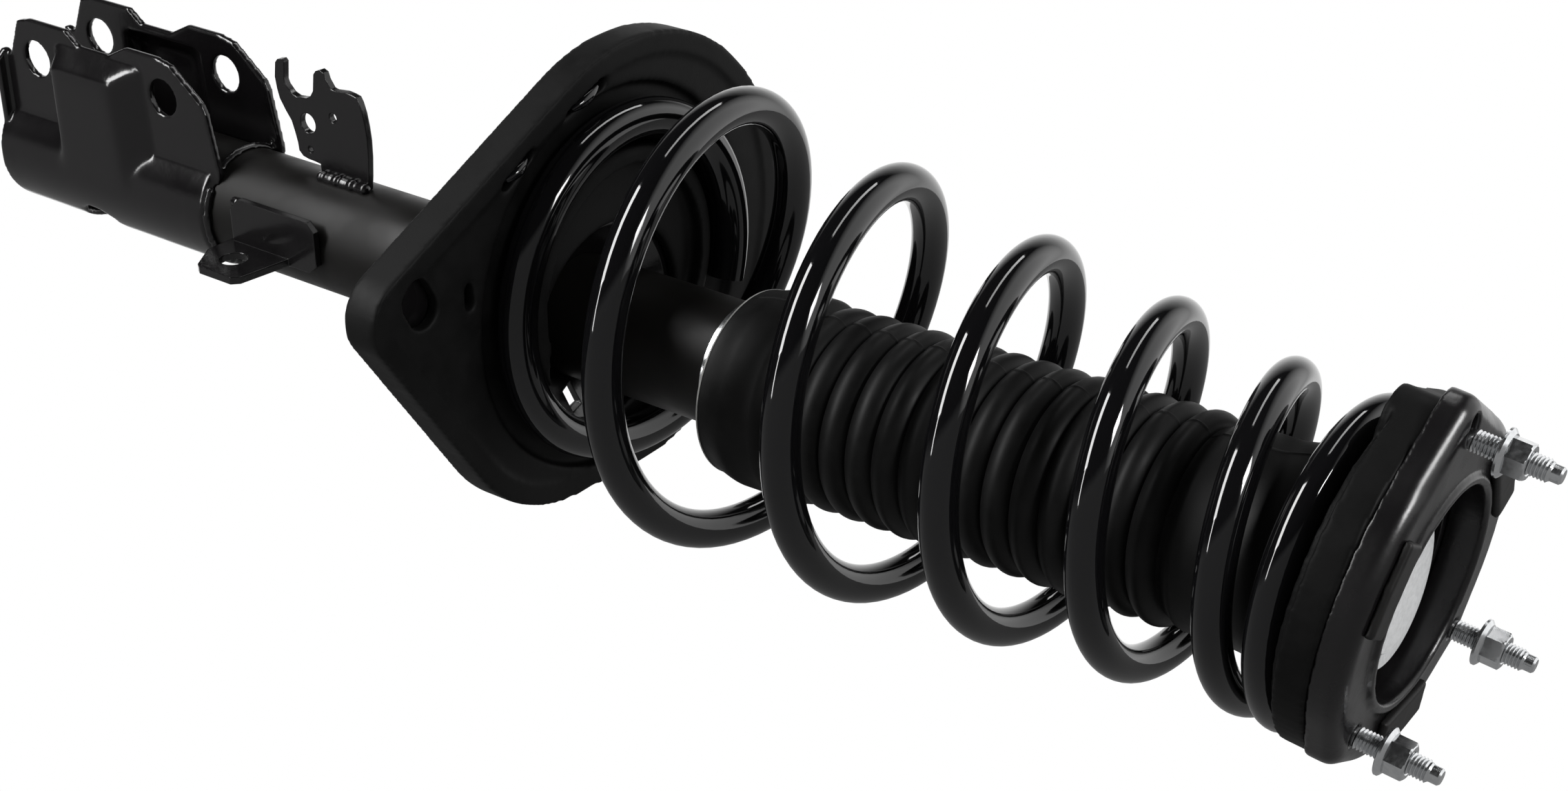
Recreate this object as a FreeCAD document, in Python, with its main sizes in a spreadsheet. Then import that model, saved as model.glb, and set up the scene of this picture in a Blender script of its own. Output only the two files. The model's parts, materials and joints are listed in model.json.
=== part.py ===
# Rear coil-over strut of a car: damper, coil spring, dust boot, spring seat,
# knuckle bracket and rubber top mount.
#
# Frame: Z is the strut axis and points up to the top mount. The origin lies on
# that axis in the plane of the mount face. X is the axis of the two knuckle
# bolts and +Y is the side to which the bracket ears reach. Millimetres.

import FreeCAD, Part
import math
import os
import Sketcher

doc = FreeCAD.newDocument("StrutAssembly")
sheet = doc.addObject("Spreadsheet::Sheet", "Sizes")
nodes = []


# Sizes with a name

class Size:
    """A length or angle together with the sheet expression that gives it."""

    def __init__(self, value, text):
        self.value = float(value)
        self.text = text

    def __add__(self, other):
        other = as_size(other)
        return Size(self.value + other.value, "(%s + %s)" % (self.text, other.text))

    def __sub__(self, other):
        other = as_size(other)
        return Size(self.value - other.value, "(%s - %s)" % (self.text, other.text))

    def __mul__(self, other):
        other = as_size(other)
        return Size(self.value * other.value, "(%s * %s)" % (self.text, other.text))

    def __truediv__(self, other):
        other = as_size(other)
        return Size(self.value / other.value, "(%s / %s)" % (self.text, other.text))

    def __neg__(self):
        return Size(-self.value, "(0 - %s)" % self.text)

    def __radd__(self, other):
        return as_size(other) + self

    def __rsub__(self, other):
        return as_size(other) - self

    def __rmul__(self, other):
        return as_size(other) * self


def as_size(thing):
    if isinstance(thing, Size):
        return thing
    return Size(thing, repr(float(thing)))


def cosine(angle):
    angle = as_size(angle)
    return Size(math.cos(math.radians(angle.value)), "cos(%s)" % angle.text)


def sine(angle):
    angle = as_size(angle)
    return Size(math.sin(math.radians(angle.value)), "sin(%s)" % angle.text)


def root(area):
    area = as_size(area)
    return Size(math.sqrt(area.value), "sqrt(%s)" % area.text)


def size(alias, number, note):
    """Write one driving size on the next row of the sheet."""
    size.row += 1
    sheet.set("A%d" % size.row, alias)
    sheet.set("B%d" % size.row, str(number))
    sheet.set("C%d" % size.row, note)
    sheet.setAlias("B%d" % size.row, alias)
    return Size(number, "Sizes." + alias)


size.row = 0

# Damper body
tube_radius = size("tube_radius", 25.4, "outer radius of the reserve tube")
tube_wall = size("tube_wall", 2.0, "wall of the reserve tube")
tube_top = size("tube_top", 272.0, "drop of the rolled tube end below the mount face")
tube_end = size("tube_end", 688.0, "drop of the lower tube end")
fit_gap = size("fit_gap", 0.05, "radial clearance of parts fixed together")
slide_gap = size("slide_gap", 0.03, "radial running clearance on rod and bore")
cylinder_bore = size("cylinder_bore", 16.0, "bore radius of the pressure tube")
cylinder_wall = size("cylinder_wall", 1.3, "wall of the pressure tube")
lip_thickness = size("lip_thickness", 2.2, "thickness of the rolled tube lip")
lip_radius = size("lip_radius", 17.5, "inner radius of the rolled tube lip")
seal_height = size("seal_height", 7.0, "height of the oil seal")
guide_height = size("guide_height", 22.0, "height of the rod guide")
guide_collar = size("guide_collar", 13.0, "height of the wide part of the rod guide")
bush_wall = size("bush_wall", 1.6, "wall of the guide bush")
cap_skirt = size("cap_skirt", 13.0, "skirt height of the striker cap")
cap_sheet = size("cap_sheet", 1.6, "sheet of the striker cap")
bottom_height = size("bottom_height", 12.0, "height of the bottom cap")
bottom_sheet = size("bottom_sheet", 3.0, "sheet of the bottom cap")
foot_height = size("foot_height", 14.0, "height of the base valve body")
foot_bolt = size("foot_bolt", 3.0, "radius of the base valve bolt")

# Rod and piston
rod_radius = size("rod_radius", 10.0, "radius of the chromed rod")
rod_shoulder = size("rod_shoulder", 33.0, "drop of the upper rod shoulder")
rod_neck = size("rod_neck", 7.0, "radius of the upper rod end")
rod_tip = size("rod_tip", 13.0, "drop of the upper rod tip")
rebound_room = size("rebound_room", 0.3, "gap between rebound bumper and guide")
bumper_height = size("bumper_height", 8.0, "height of the rebound bumper")
ring_height = size("ring_height", 6.0, "height of the rebound ring")
ring_radius = size("ring_radius", 14.0, "radius of the rebound ring")
piston_space = size("piston_space", 32.0, "rod length between rebound ring and piston")
piston_neck = size("piston_neck", 6.0, "radius of the lower rod end")
piston_height = size("piston_height", 21.0, "height of the piston")
valve_height = size("valve_height", 2.4, "height of each valve disc stack")
valve_radius = size("valve_radius", 12.0, "radius of the valve discs")
nut_height = size("nut_height", 9.0, "height of the piston nut")
nut_flats = size("nut_flats", 19.0, "width across flats of the piston nut")

# Spring seat
seat_drop = size("seat_drop", 352.0, "drop of the rubber seat face")
seat_radius = size("seat_radius", 93.0, "radius of the round part of the seat")
seat_x = size("seat_x", 18.0, "centre of the seat in X")
seat_y = size("seat_y", 23.0, "centre of the seat in Y")
flank_radius = size("flank_radius", 70.0, "radius of the seat flank below the corner")
flank_x = size("flank_x", -22.0, "centre of the seat flank in X")
flank_y = size("flank_y", 3.0, "centre of the seat flank in Y")
corner_x = size("corner_x", -113.0, "centre of the seat corner in X")
corner_y = size("corner_y", 47.0, "centre of the seat corner in Y")
corner_radius = size("corner_radius", 18.0, "radius of the seat corner")
rubber_sheet = size("rubber_sheet", 4.0, "thickness of the rubber seat")
rubber_skirt = size("rubber_skirt", 13.5, "height of the rubber skirt")
rubber_border = size("rubber_border", 9.0, "width of the raised border")
border_height = size("border_height", 0.8, "height of the border above the rubber face")
channel_radius = size("channel_radius", 79.5, "outer radius of the channel for the lower coil")
channel_depth = size("channel_depth", 1.6, "depth of that channel below the rubber face")
drain_side = size("drain_side", 8.0, "side of the square drain hole")
drain_x = size("drain_x", -14.5, "place of the drain hole in X")
drain_y = size("drain_y", -30.5, "place of the drain hole in Y")
pan_sheet = size("pan_sheet", 3.0, "sheet of the seat pan")
pan_skirt = size("pan_skirt", 8.0, "depth of the turned-down pan rim")
pan_collar = size("pan_collar", 24.0, "height of the pan collar on the tube")
pan_cone = size("pan_cone", 16.0, "radial reach of the conical pan centre")
hub_radius = size("hub_radius", 56.0, "radius of the rubber hub inside the spring")
hub_height = size("hub_height", 7.0, "height of the rubber hub inside the spring")

# Coil spring
coil_low_x = size("coil_low_x", 4.7, "centre of the flat lower coil in X")
coil_low_y = size("coil_low_y", 19.4, "centre of the flat lower coil in Y")
coil_free_x = size("coil_free_x", 2.2, "centre of the first free coil in X")
coil_free_y = size("coil_free_y", 15.7, "centre of the first free coil in Y")
coil_start = size("coil_start", -20.0, "angle of the lower end of the wire")
coil_leave = size("coil_leave", 315.0, "angle at which the wire has reached its free slope")
coil_high_x = size("coil_high_x", 5.5, "centre of the upper coil in X")
coil_high_y = size("coil_high_y", -2.0, "centre of the upper coil in Y")
wire_radius = size("wire_radius", 7.0, "radius of the spring wire")
coil_bottom = size("coil_bottom", 68.0, "mean radius of the flat lower coil")
coil_wide = size("coil_wide", 88.1, "mean radius of the first free coil")
coil_top = size("coil_top", 52.0, "mean radius of the flat upper coil")
free_turns = size("free_turns", 5.1, "turns between the end ramps")
spring_gap = size("spring_gap", 0.3, "gap between spring and rubber seat")

# Dust boot
boot_radius = size("boot_radius", 39.0, "crest radius of the folds")
boot_valley = size("boot_valley", 34.6, "valley radius of the folds")
boot_wall = size("boot_wall", 1.5, "wall of the dust boot")
boot_end = size("boot_end", 284.0, "drop of the open lower rim")
boot_cup = size("boot_cup", 39.0, "height of the smooth lower cup")
boot_folds = size("boot_folds", 14, "number of folds")
boot_lean_x = size("boot_lean_x", -1.9, "shift of the lower rim in X")
boot_lean_y = size("boot_lean_y", -2.9, "shift of the lower rim in Y")
fold_pitch = size("fold_pitch", 11.6, "pitch of the folds")

# Top mount
mount_tilt = size("mount_tilt", 6.6, "tilt of the mount face about X")
mount_y = size("mount_y", 1.8, "centre of the mount face in Y")
shell_radius = size("shell_radius", 63.0, "radius of the shell between its lobes")
shell_height = size("shell_height", 12.0, "height of the shell")
shell_sheet = size("shell_sheet", 2.6, "sheet of the shell")
shell_round = size("shell_round", 6.0, "rounding of the shell shoulder")
lobe_radius = size("lobe_radius", 12.0, "radius of the lobe round each stud")
front_reach = size("front_reach", 69.5, "reach of the shell past the front stud")
rear_reach = size("rear_reach", 66.0, "reach of the shell past the rear studs")
mount_hole = size("mount_hole", 39.5, "radius of the central hole")
hole_rim = size("hole_rim", 43.3, "outer radius of the rolled rim")
rim_height = size("rim_height", 1.8, "height of the rolled rim")
base_sheet = size("base_sheet", 2.5, "sheet of the lower mount plate")
cup_radius = size("cup_radius", 38.8, "outer radius of the rubber cup")
cup_drop = size("cup_drop", 31.5, "drop of the cup floor")
cup_mouth = size("cup_mouth", 26.0, "radius of the opening in the cup floor")
core_radius = size("core_radius", 22.0, "radius of the mount core")
core_height = size("core_height", 5.0, "height of the mount core")
washer_height = size("washer_height", 2.5, "height of the rod washer")
rod_nut_height = size("rod_nut_height", 9.5, "height of the rod nut")
rod_nut_flats = size("rod_nut_flats", 21.0, "width across flats of the rod nut")
cover_radius = size("cover_radius", 29.0, "radius of the plated centre cover")
cover_drop = size("cover_drop", 9.5, "drop of the centre cover face")
cover_sheet = size("cover_sheet", 1.2, "sheet of the centre cover")
cover_step = size("cover_step", 5.0, "width of the lowered edge of the cover")
insulator_radius = size("insulator_radius", 64.0, "radius of the upper insulator")
insulator_drop = size("insulator_drop", 21.7, "drop of the insulator's lower face")
insulator_reach = size("insulator_reach", 76.0, "reach of the insulator past the front stud")
lug_width = size("lug_width", 33.0, "width of each rubber lug")
lug_height = size("lug_height", 3.0, "height of each rubber lug")
stop_radius = size("stop_radius", 23.5, "radius of the bump stop")
stop_length = size("stop_length", 74.0, "length of the bump stop")

# Mount studs and nuts
stud_radius = size("stud_radius", 4.0, "thread radius of the studs")
stud_reach = size("stud_reach", 30.9, "stud length above the mount face")
stud_head = size("stud_head", 5.2, "radius of the pressed stud head")
head_height = size("head_height", 2.6, "height of the pressed stud head")
front_stud = size("front_stud", 61.0, "distance of the single stud from the mount centre")
rear_stud_x = size("rear_stud_x", 39.5, "half spacing of the two rear studs")
rear_stud_y = size("rear_stud_y", 36.2, "rear stud distance behind the mount centre")
thread_depth = size("thread_depth", 0.4, "depth to which nut and stud threads engage")
nut_face = size("nut_face", 10.5, "height of the nut flange above the mount face")
flange_radius = size("flange_radius", 8.6, "radius of the nut flange")
flange_nut_height = size("flange_nut_height", 9.5, "height of the flange nuts")
flange_nut_flats = size("flange_nut_flats", 12.0, "width across flats of the flange nuts")

# Knuckle bracket
bracket_sheet = size("bracket_sheet", 3.2, "sheet of the knuckle bracket")
bracket_top = size("bracket_top", 561.0, "drop of the bracket collar")
bracket_end = size("bracket_end", 698.0, "drop of the bracket lower edge")
ear_gap = size("ear_gap", 33.4, "clear width between the ears")
bolt_radius = size("bolt_radius", 8.5, "radius of the knuckle bolt holes")
bolt_reach = size("bolt_reach", 49.8, "distance of the bolt holes from the strut axis")
bolt_pitch = size("bolt_pitch", 84.6, "spacing of the two bolt holes")
bolt_centre = size("bolt_centre", 630.0, "drop of the middle between the bolt holes")
ear_reach = size("ear_reach", 68.0, "distance of the ear edge from the strut axis")
ear_notch = size("ear_notch", 6.0, "depth of the notch in the ear edge")
lip_reach = size("lip_reach", 4.5, "reach of the flared lower lip")
window_length = size("window_length", 48.0, "length of the window in the back")
window_height = size("window_height", 30.0, "height of the window in the back")
weld_size = size("weld_size", 3.2, "leg of the weld beads")

# Small brackets
wire_sheet = size("wire_sheet", 3.0, "sheet of the wire bracket")
wire_drop = size("wire_drop", 484.0, "drop of the upper edge of the wire bracket")
hose_sheet = size("hose_sheet", 3.2, "sheet of the hose bracket")
hose_drop = size("hose_drop", 526.5, "drop of the hose hole")
hose_hole = size("hose_hole", 6.25, "radius of the hose hole")
hose_reach = size("hose_reach", 42.0, "distance of the hose hole from the strut axis")
tab_above = size("tab_above", 36.5, "reach of the hose bracket's tab above the hole")
tab_length = size("tab_length", 51.0, "length of that tab")
tab_width = size("tab_width", 23.5, "width of that tab")

doc.recompute()


# Drawing helpers

def plane(body, role):
    """Origin plane of a body, such as XY_Plane."""
    for feature in body.Origin.OriginFeatures:
        if feature.Role == role:
            return feature


def new_body(label):
    body = doc.addObject("PartDesign::Body", label)
    body.Label = label
    return body


def sketch(body, name, role, offset=None):
    """Sketch on an origin plane, moved along the plane's normal."""
    flat = body.newObject("Sketcher::SketchObject", body.Name + "_" + name)
    flat.AttachmentSupport = [(plane(body, role), "")]
    flat.MapMode = "FlatFace"
    if offset is not None:
        offset = as_size(offset)
        flat.AttachmentOffset = FreeCAD.Placement(FreeCAD.Vector(0, 0, offset.value), FreeCAD.Rotation())
        flat.setExpression("AttachmentOffset.Base.z", offset.text)
    return flat


def pin_point(flat, geometry, end, x, y):
    """Hold one point of a sketch at a place given by two sizes."""
    for kind, where in (("DistanceX", as_size(x)), ("DistanceY", as_size(y))):
        rule = Sketcher.Constraint(kind, -1, 1, geometry, end, where.value)
        index = flat.addConstraint(rule)
        flat.setExpression("Constraints[%d]" % index, where.text)


def polygon(flat, points):
    """Closed outline through points given by sizes."""
    places = []
    for x, y in points:
        places.append(FreeCAD.Vector(as_size(x).value, as_size(y).value, 0))
    first = flat.GeometryCount
    count = len(places)
    lines = []
    joints = []
    for i in range(count):
        lines.append(Part.LineSegment(places[i], places[(i + 1) % count]))
        joints.append(Sketcher.Constraint("Coincident", first + i, 2, first + (i + 1) % count, 1))
    flat.addGeometry(lines, False)
    flat.addConstraint(joints)
    for i, (x, y) in enumerate(points):
        pin_point(flat, first + i, 1, x, y)


def circle(flat, x, y, radius):
    radius = as_size(radius)
    middle = FreeCAD.Vector(as_size(x).value, as_size(y).value, 0)
    index = flat.addGeometry(Part.Circle(middle, FreeCAD.Vector(0, 0, 1), radius.value), False)
    pin_point(flat, index, 3, x, y)
    rule = flat.addConstraint(Sketcher.Constraint("Radius", index, radius.value))
    flat.setExpression("Constraints[%d]" % rule, radius.text)


def hull(flat, rounds):
    """Outline stretched round circles, given anticlockwise as x, y, radius."""
    places = []
    for x, y, r in rounds:
        places.append((FreeCAD.Vector(as_size(x).value, as_size(y).value, 0), as_size(r).value))
    count = len(places)
    outward = []
    for i in range(count):
        (a, ra), (b, rb) = places[i], places[(i + 1) % count]
        span = b - a
        outward.append(math.atan2(span.y, span.x) - math.acos((ra - rb) / span.Length))
    up = FreeCAD.Vector(0, 0, 1)
    arcs = []
    lines = []
    joints = []
    first = flat.GeometryCount
    for i in range(count):
        middle, radius = places[i]
        ahead, ahead_radius = places[(i + 1) % count]
        begin = outward[i - 1]
        end = outward[i]
        while end <= begin:
            end += 2 * math.pi
        arcs.append(Part.ArcOfCircle(Part.Circle(middle, up, radius), begin, end))
        aside = FreeCAD.Vector(math.cos(end), math.sin(end), 0)
        lines.append(Part.LineSegment(middle + aside * radius, ahead + aside * ahead_radius))
        arc, line, next_arc = first + i, first + count + i, first + (i + 1) % count
        joints.append(Sketcher.Constraint("Tangent", arc, 2, line, 1))
        joints.append(Sketcher.Constraint("Tangent", line, 2, next_arc, 1))
    flat.addGeometry(arcs + lines, False)
    flat.addConstraint(joints)
    for i, (x, y, r) in enumerate(rounds):
        pin_point(flat, first + i, 3, x, y)
        radius = as_size(r)
        rule = flat.addConstraint(Sketcher.Constraint("Radius", first + i, radius.value))
        flat.setExpression("Constraints[%d]" % rule, radius.text)


def pad(body, flat, length, reverse=False):
    """Raise a sketch along its normal."""
    length = as_size(length)
    block = body.newObject("PartDesign::Pad", flat.Name + "_pad")
    block.Profile = flat
    block.Length = length.value
    block.setExpression("Length", length.text)
    block.Reversed = reverse
    flat.Visibility = False
    return block


def pocket(body, flat, length, reverse=False):
    """Cut a sketch against its normal, or along it when reversed."""
    length = as_size(length)
    before = solid_volume(body)
    cut = body.newObject("PartDesign::Pocket", flat.Name + "_cut")
    cut.Profile = flat
    cut.Length = length.value
    cut.setExpression("Length", length.text)
    cut.Reversed = reverse
    doc.recompute()
    if not solid_volume(body) < before - 0.01:
        raise RuntimeError("nothing was cut by " + cut.Name)
    return cut


def solid_volume(body):
    doc.recompute()
    return body.Shape.Volume


def revolve(body, flat, kind="PartDesign::Revolution"):
    """Turn a sketch once round its vertical axis."""
    turn = body.newObject(kind, flat.Name + "_turn")
    turn.Profile = flat
    turn.ReferenceAxis = (flat, ["V_Axis"])
    turn.Angle = 360
    return turn


def turned(label, points):
    """Body of revolution round Z from an outline of (radius, height)."""
    body = new_body(label)
    flat = sketch(body, "outline", "XZ_Plane")
    polygon(flat, points)
    revolve(body, flat)
    return body


def tube_points(inner, outer, low, high):
    return [(inner, low), (outer, low), (outer, high), (inner, high)]


def hexagon(flat, x, y, flats):
    """Six sides round a point, two of them across the X axis."""
    corner = as_size(flats) / (2 * math.cos(math.radians(30)))
    points = []
    for side in range(6):
        angle = 30 + 60 * side
        points.append((x + corner * math.cos(math.radians(angle)),
                       y + corner * math.sin(math.radians(angle))))
    polygon(flat, points)


def edges_where(body, test):
    """Names of the edges of the newest feature whose middle passes a test."""
    doc.recompute()
    names = []
    for number, edge in enumerate(body.Tip.Shape.Edges, 1):
        if test(edge):
            names.append("Edge%d" % number)
    return names


def round_edges(body, radius, test, kind="PartDesign::Fillet"):
    """Fillet or chamfer the chosen edges of the newest feature."""
    radius = as_size(radius)
    names = edges_where(body, test)
    if not names:
        raise RuntimeError("no edge found on " + body.Label)
    base = body.Tip
    edge = body.newObject(kind, body.Name + "_edge%d" % len(body.Group))
    edge.Base = (base, names)
    if kind == "PartDesign::Fillet":
        edge.Radius = radius.value
        edge.setExpression("Radius", radius.text)
    else:
        edge.Size = radius.value
        edge.setExpression("Size", radius.text)
    doc.recompute()
    return edge


def ring_at(radius, height):
    """Test for a full circle of a given radius at a given height."""
    radius = as_size(radius).value
    height = as_size(height).value

    def test(edge):
        if edge.Curve.TypeId != "Part::GeomCircle":
            return False
        same_height = abs(edge.Curve.Center.z - height) < 0.02
        return same_height and abs(edge.Curve.Radius - radius) < 0.02
    return test


tilt_text = ("create(<<placement>>; create(<<vector>>; 0; Sizes.mount_y; 0); "
             "create(<<rotation>>; create(<<vector>>; 1; 0; 0); Sizes.mount_tilt))")


def lean_with_mount(thing):
    """Place a piece in the tilted frame of the mount face."""
    turn = FreeCAD.Rotation(FreeCAD.Vector(1, 0, 0), mount_tilt.value)
    thing.Placement = FreeCAD.Placement(FreeCAD.Vector(0, mount_y.value, 0), turn)
    thing.setExpression("Placement", tilt_text)


def keep(thing, label=None):
    """Put a finished piece on the list of nodes."""
    if label:
        thing.Label = label
    nodes.append(thing)
    return thing


# Levels along the strut axis, as heights
tube_low = -tube_end
tube_high = -tube_top
tube_inner = tube_radius - tube_wall
seal_top = tube_high - lip_thickness
seal_low = seal_top - seal_height
guide_low = seal_low - guide_height
collar_low = seal_low - guide_collar
floor_top = tube_low + bottom_sheet + 2.5
cylinder_low = floor_top + foot_height * 0.5
bumper_top = guide_low - rebound_room
bumper_low = bumper_top - bumper_height
ring_low = bumper_low - ring_height
piston_shoulder = ring_low - piston_space
upper_valve_low = piston_shoulder - valve_height
piston_low = upper_valve_low - piston_height
lower_valve_low = piston_low - valve_height
piston_nut_low = lower_valve_low - nut_height
seat_top = -seat_drop
pan_top = seat_top - rubber_sheet
pan_low = pan_top - pan_sheet
plate_radius = shell_radius - 0.6
nut_top = nut_face + flange_nut_height
thread_core = stud_radius - thread_depth


def outer_tube():
    """Reserve tube with its upper end rolled in over the seal."""
    points = [
        (tube_inner, tube_low),
        (tube_radius, tube_low),
        (tube_radius, tube_high),
        (lip_radius, tube_high),
        (lip_radius, seal_top),
        (tube_inner, seal_top),
    ]
    body = turned("outer_tube", points)
    round_edges(body, tube_wall * 0.9, ring_at(tube_radius, tube_high))
    return keep(body)


def tube_bottom_cap():
    """Dished cap welded into the lower tube end."""
    rim = tube_inner - fit_gap
    points = [
        (0, floor_top - bottom_sheet),
        (rim - 6, floor_top - bottom_sheet),
        (rim - bottom_sheet, tube_low),
        (rim, tube_low),
        (rim, tube_low + bottom_height),
        (rim - bottom_sheet, tube_low + bottom_height),
        (rim - bottom_sheet, floor_top + 1),
        (rim - bottom_sheet - 1, floor_top),
        (0, floor_top),
    ]
    return keep(turned("tube_bottom_cap", points))


def pressure_tube():
    """Inner cylinder between the base valve and the rod guide."""
    outer = cylinder_bore + cylinder_wall
    return keep(turned("pressure_tube", tube_points(cylinder_bore, outer, cylinder_low, collar_low)))


def base_valve_body():
    """Base valve that plugs the pressure tube, with its feed notches."""
    plug = cylinder_bore - fit_gap
    shoulder = cylinder_bore + cylinder_wall
    bore = foot_bolt
    points = [
        (bore + fit_gap, floor_top + 5),
        (plug - 4, floor_top + 5),
        (plug - 4, floor_top),
        (shoulder, floor_top),
        (shoulder, cylinder_low),
        (plug, cylinder_low),
        (plug, floor_top + foot_height),
        (bore + fit_gap, floor_top + foot_height),
    ]
    body = turned("base_valve_body", points)
    flat = sketch(body, "notch", "XY_Plane", floor_top)
    polygon(flat, [(plug - 6, -2.5), (shoulder + 1, -2.5), (shoulder + 1, 2.5), (plug - 6, 2.5)])
    cut = pocket(body, flat, 3, reverse=True)
    around = body.newObject("PartDesign::PolarPattern", "base_valve_notches")
    around.Originals = [cut]
    around.Axis = (flat, ["N_Axis"])
    around.Angle = 360
    around.Occurrences = 4
    body.Tip = around
    keep(body)
    top = floor_top + foot_height
    keep(turned("base_valve_disc", tube_points(bore + fit_gap, valve_radius, top, top + 1.6)))
    head = floor_top + 1.5
    points = [
        (0, head),
        (bore + 2, head),
        (bore + 2, floor_top + 5),
        (bore, floor_top + 5),
        (bore, top + 1.6),
        (bore + 1.8, top + 1.6),
        (bore + 1.8, top + 4),
        (0, top + 4),
    ]
    keep(turned("base_valve_bolt", points))


def rod_guide():
    """Sintered guide with its bush, and the oil seal above it."""
    bush_hole = rod_radius + slide_gap + bush_wall
    rim = tube_inner - fit_gap
    spigot = cylinder_bore - fit_gap
    points = [
        (bush_hole, guide_low),
        (spigot, guide_low),
        (spigot, collar_low),
        (rim, collar_low),
        (rim, seal_low),
        (bush_hole, seal_low),
    ]
    keep(turned("rod_guide", points))
    keep(turned("rod_guide_bush", tube_points(rod_radius + slide_gap, bush_hole - 0.01,
                                              guide_low + 2, seal_low - 2)))
    lip = rod_radius + slide_gap
    points = [
        (lip, seal_low + 0.5),
        (lip + 2, seal_low + 0.5),
        (lip + 2, seal_low),
        (rim, seal_low),
        (rim, seal_top - 0.5),
        (lip_radius - 1, seal_top - 0.5),
        (lip_radius - 1, seal_top),
        (lip + 1.5, seal_top),
    ]
    keep(turned("oil_seal", points))


def striker_cap():
    """Steel cup over the tube end that meets the bump stop."""
    inside = tube_radius + fit_gap
    top = tube_high + cap_sheet
    hole = rod_radius + 1.5
    points = [
        (inside, tube_high - cap_skirt),
        (inside + cap_sheet, tube_high - cap_skirt),
        (inside + cap_sheet, top),
        (hole, top),
        (hole, tube_high),
        (inside, tube_high),
    ]
    body = turned("striker_cap", points)
    round_edges(body, cap_sheet * 0.9, ring_at(inside + cap_sheet, top))
    return keep(body)


def damper_rod():
    """Chromed rod with its rebound ring, piston and valve stack."""
    points = [
        (0, piston_nut_low - 2),
        (piston_neck, piston_nut_low - 2),
        (piston_neck, piston_shoulder),
        (rod_radius, piston_shoulder),
        (rod_radius, -rod_shoulder),
        (rod_neck, -rod_shoulder),
        (rod_neck, -rod_tip),
        (0, -rod_tip),
    ]
    body = turned("piston_rod", points)
    round_edges(body, 1.0, ring_at(rod_neck, -rod_tip), "PartDesign::Chamfer")
    keep(body)
    rod_hole = rod_radius + fit_gap
    keep(turned("rebound_bumper", tube_points(rod_hole, ring_radius, bumper_low, bumper_top)))
    keep(turned("rebound_ring", tube_points(rod_hole, ring_radius, ring_low, bumper_low)))
    hole = piston_neck + fit_gap
    band = cylinder_bore - slide_gap
    body = turned("piston", tube_points(hole, band - 0.6, piston_low, upper_valve_low))
    flat = sketch(body, "port", "XY_Plane", piston_low)
    circle(flat, hole + 3.2, 0, 1.5)
    cut = pocket(body, flat, piston_height, reverse=True)
    around = body.newObject("PartDesign::PolarPattern", "piston_ports")
    around.Originals = [cut]
    around.Axis = (flat, ["N_Axis"])
    around.Angle = 360
    around.Occurrences = 6
    body.Tip = around
    keep(body)
    keep(turned("piston_band", tube_points(band - 0.55, band, piston_low + 4, upper_valve_low - 4)))
    keep(turned("upper_valve_discs", tube_points(hole, valve_radius, upper_valve_low, piston_shoulder)))
    keep(turned("lower_valve_discs", tube_points(hole, valve_radius, lower_valve_low, piston_low)))
    body = new_body("piston_nut")
    flat = sketch(body, "hex", "XY_Plane", piston_nut_low)
    hexagon(flat, 0, 0, nut_flats)
    circle(flat, 0, 0, hole)
    pad(body, flat, nut_height)
    keep(body)


# Spring seat

def seat_outline(flat, inset):
    """Round seat with one corner and a fuller flank, drawn in by an inset."""
    hull(flat, [(seat_x, seat_y, seat_radius - inset),
                (corner_x, corner_y, corner_radius - inset),
                (flank_x, flank_y, flank_radius - inset)])


def drain_hole(body, depth):
    """Square hole through the centre of the seat."""
    square = sketch(body, "drain", "XY_Plane", pan_top + 1)
    half = drain_side / 2
    polygon(square, [(drain_x - half, drain_y - half), (drain_x + half, drain_y - half),
                     (drain_x + half, drain_y + half), (drain_x - half, drain_y + half)])
    pocket(body, square, depth)


def spring_seat_pan():
    """Pressed pan welded to the tube, with a turned-down rim and a conical centre."""
    body = new_body("spring_seat_pan")
    margin = rubber_sheet + fit_gap
    flat = sketch(body, "plate", "XY_Plane", pan_top - pan_skirt)
    seat_outline(flat, margin)
    pad(body, flat, pan_skirt)
    inside = sketch(body, "hollow", "XY_Plane", pan_low)
    seat_outline(inside, margin + pan_sheet)
    pocket(body, inside, pan_skirt)
    hole = sketch(body, "hole", "XY_Plane", pan_top)
    circle(hole, 0, 0, tube_radius + fit_gap + pan_cone)
    pocket(body, hole, pan_sheet + 1)
    cone = sketch(body, "cone", "XZ_Plane")
    near = tube_radius + fit_gap
    polygon(cone, [
        (near, pan_low - pan_collar),
        (near + pan_sheet, pan_low - pan_collar),
        (near + pan_sheet, pan_low - pan_cone * 0.6),
        (near + pan_cone + 1, pan_low),
        (near + pan_cone + 1, pan_top),
        (near + pan_cone - 1, pan_top),
        (near, pan_low - pan_cone * 0.6 + 1),
    ])
    revolve(body, cone)
    weld = sketch(body, "weld", "XZ_Plane")
    polygon(weld, [
        (near, pan_low - pan_collar - weld_size),
        (near + weld_size, pan_low - pan_collar),
        (near, pan_low - pan_collar),
    ])
    revolve(body, weld)
    drain_hole(body, pan_cone)
    return keep(body)


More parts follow.
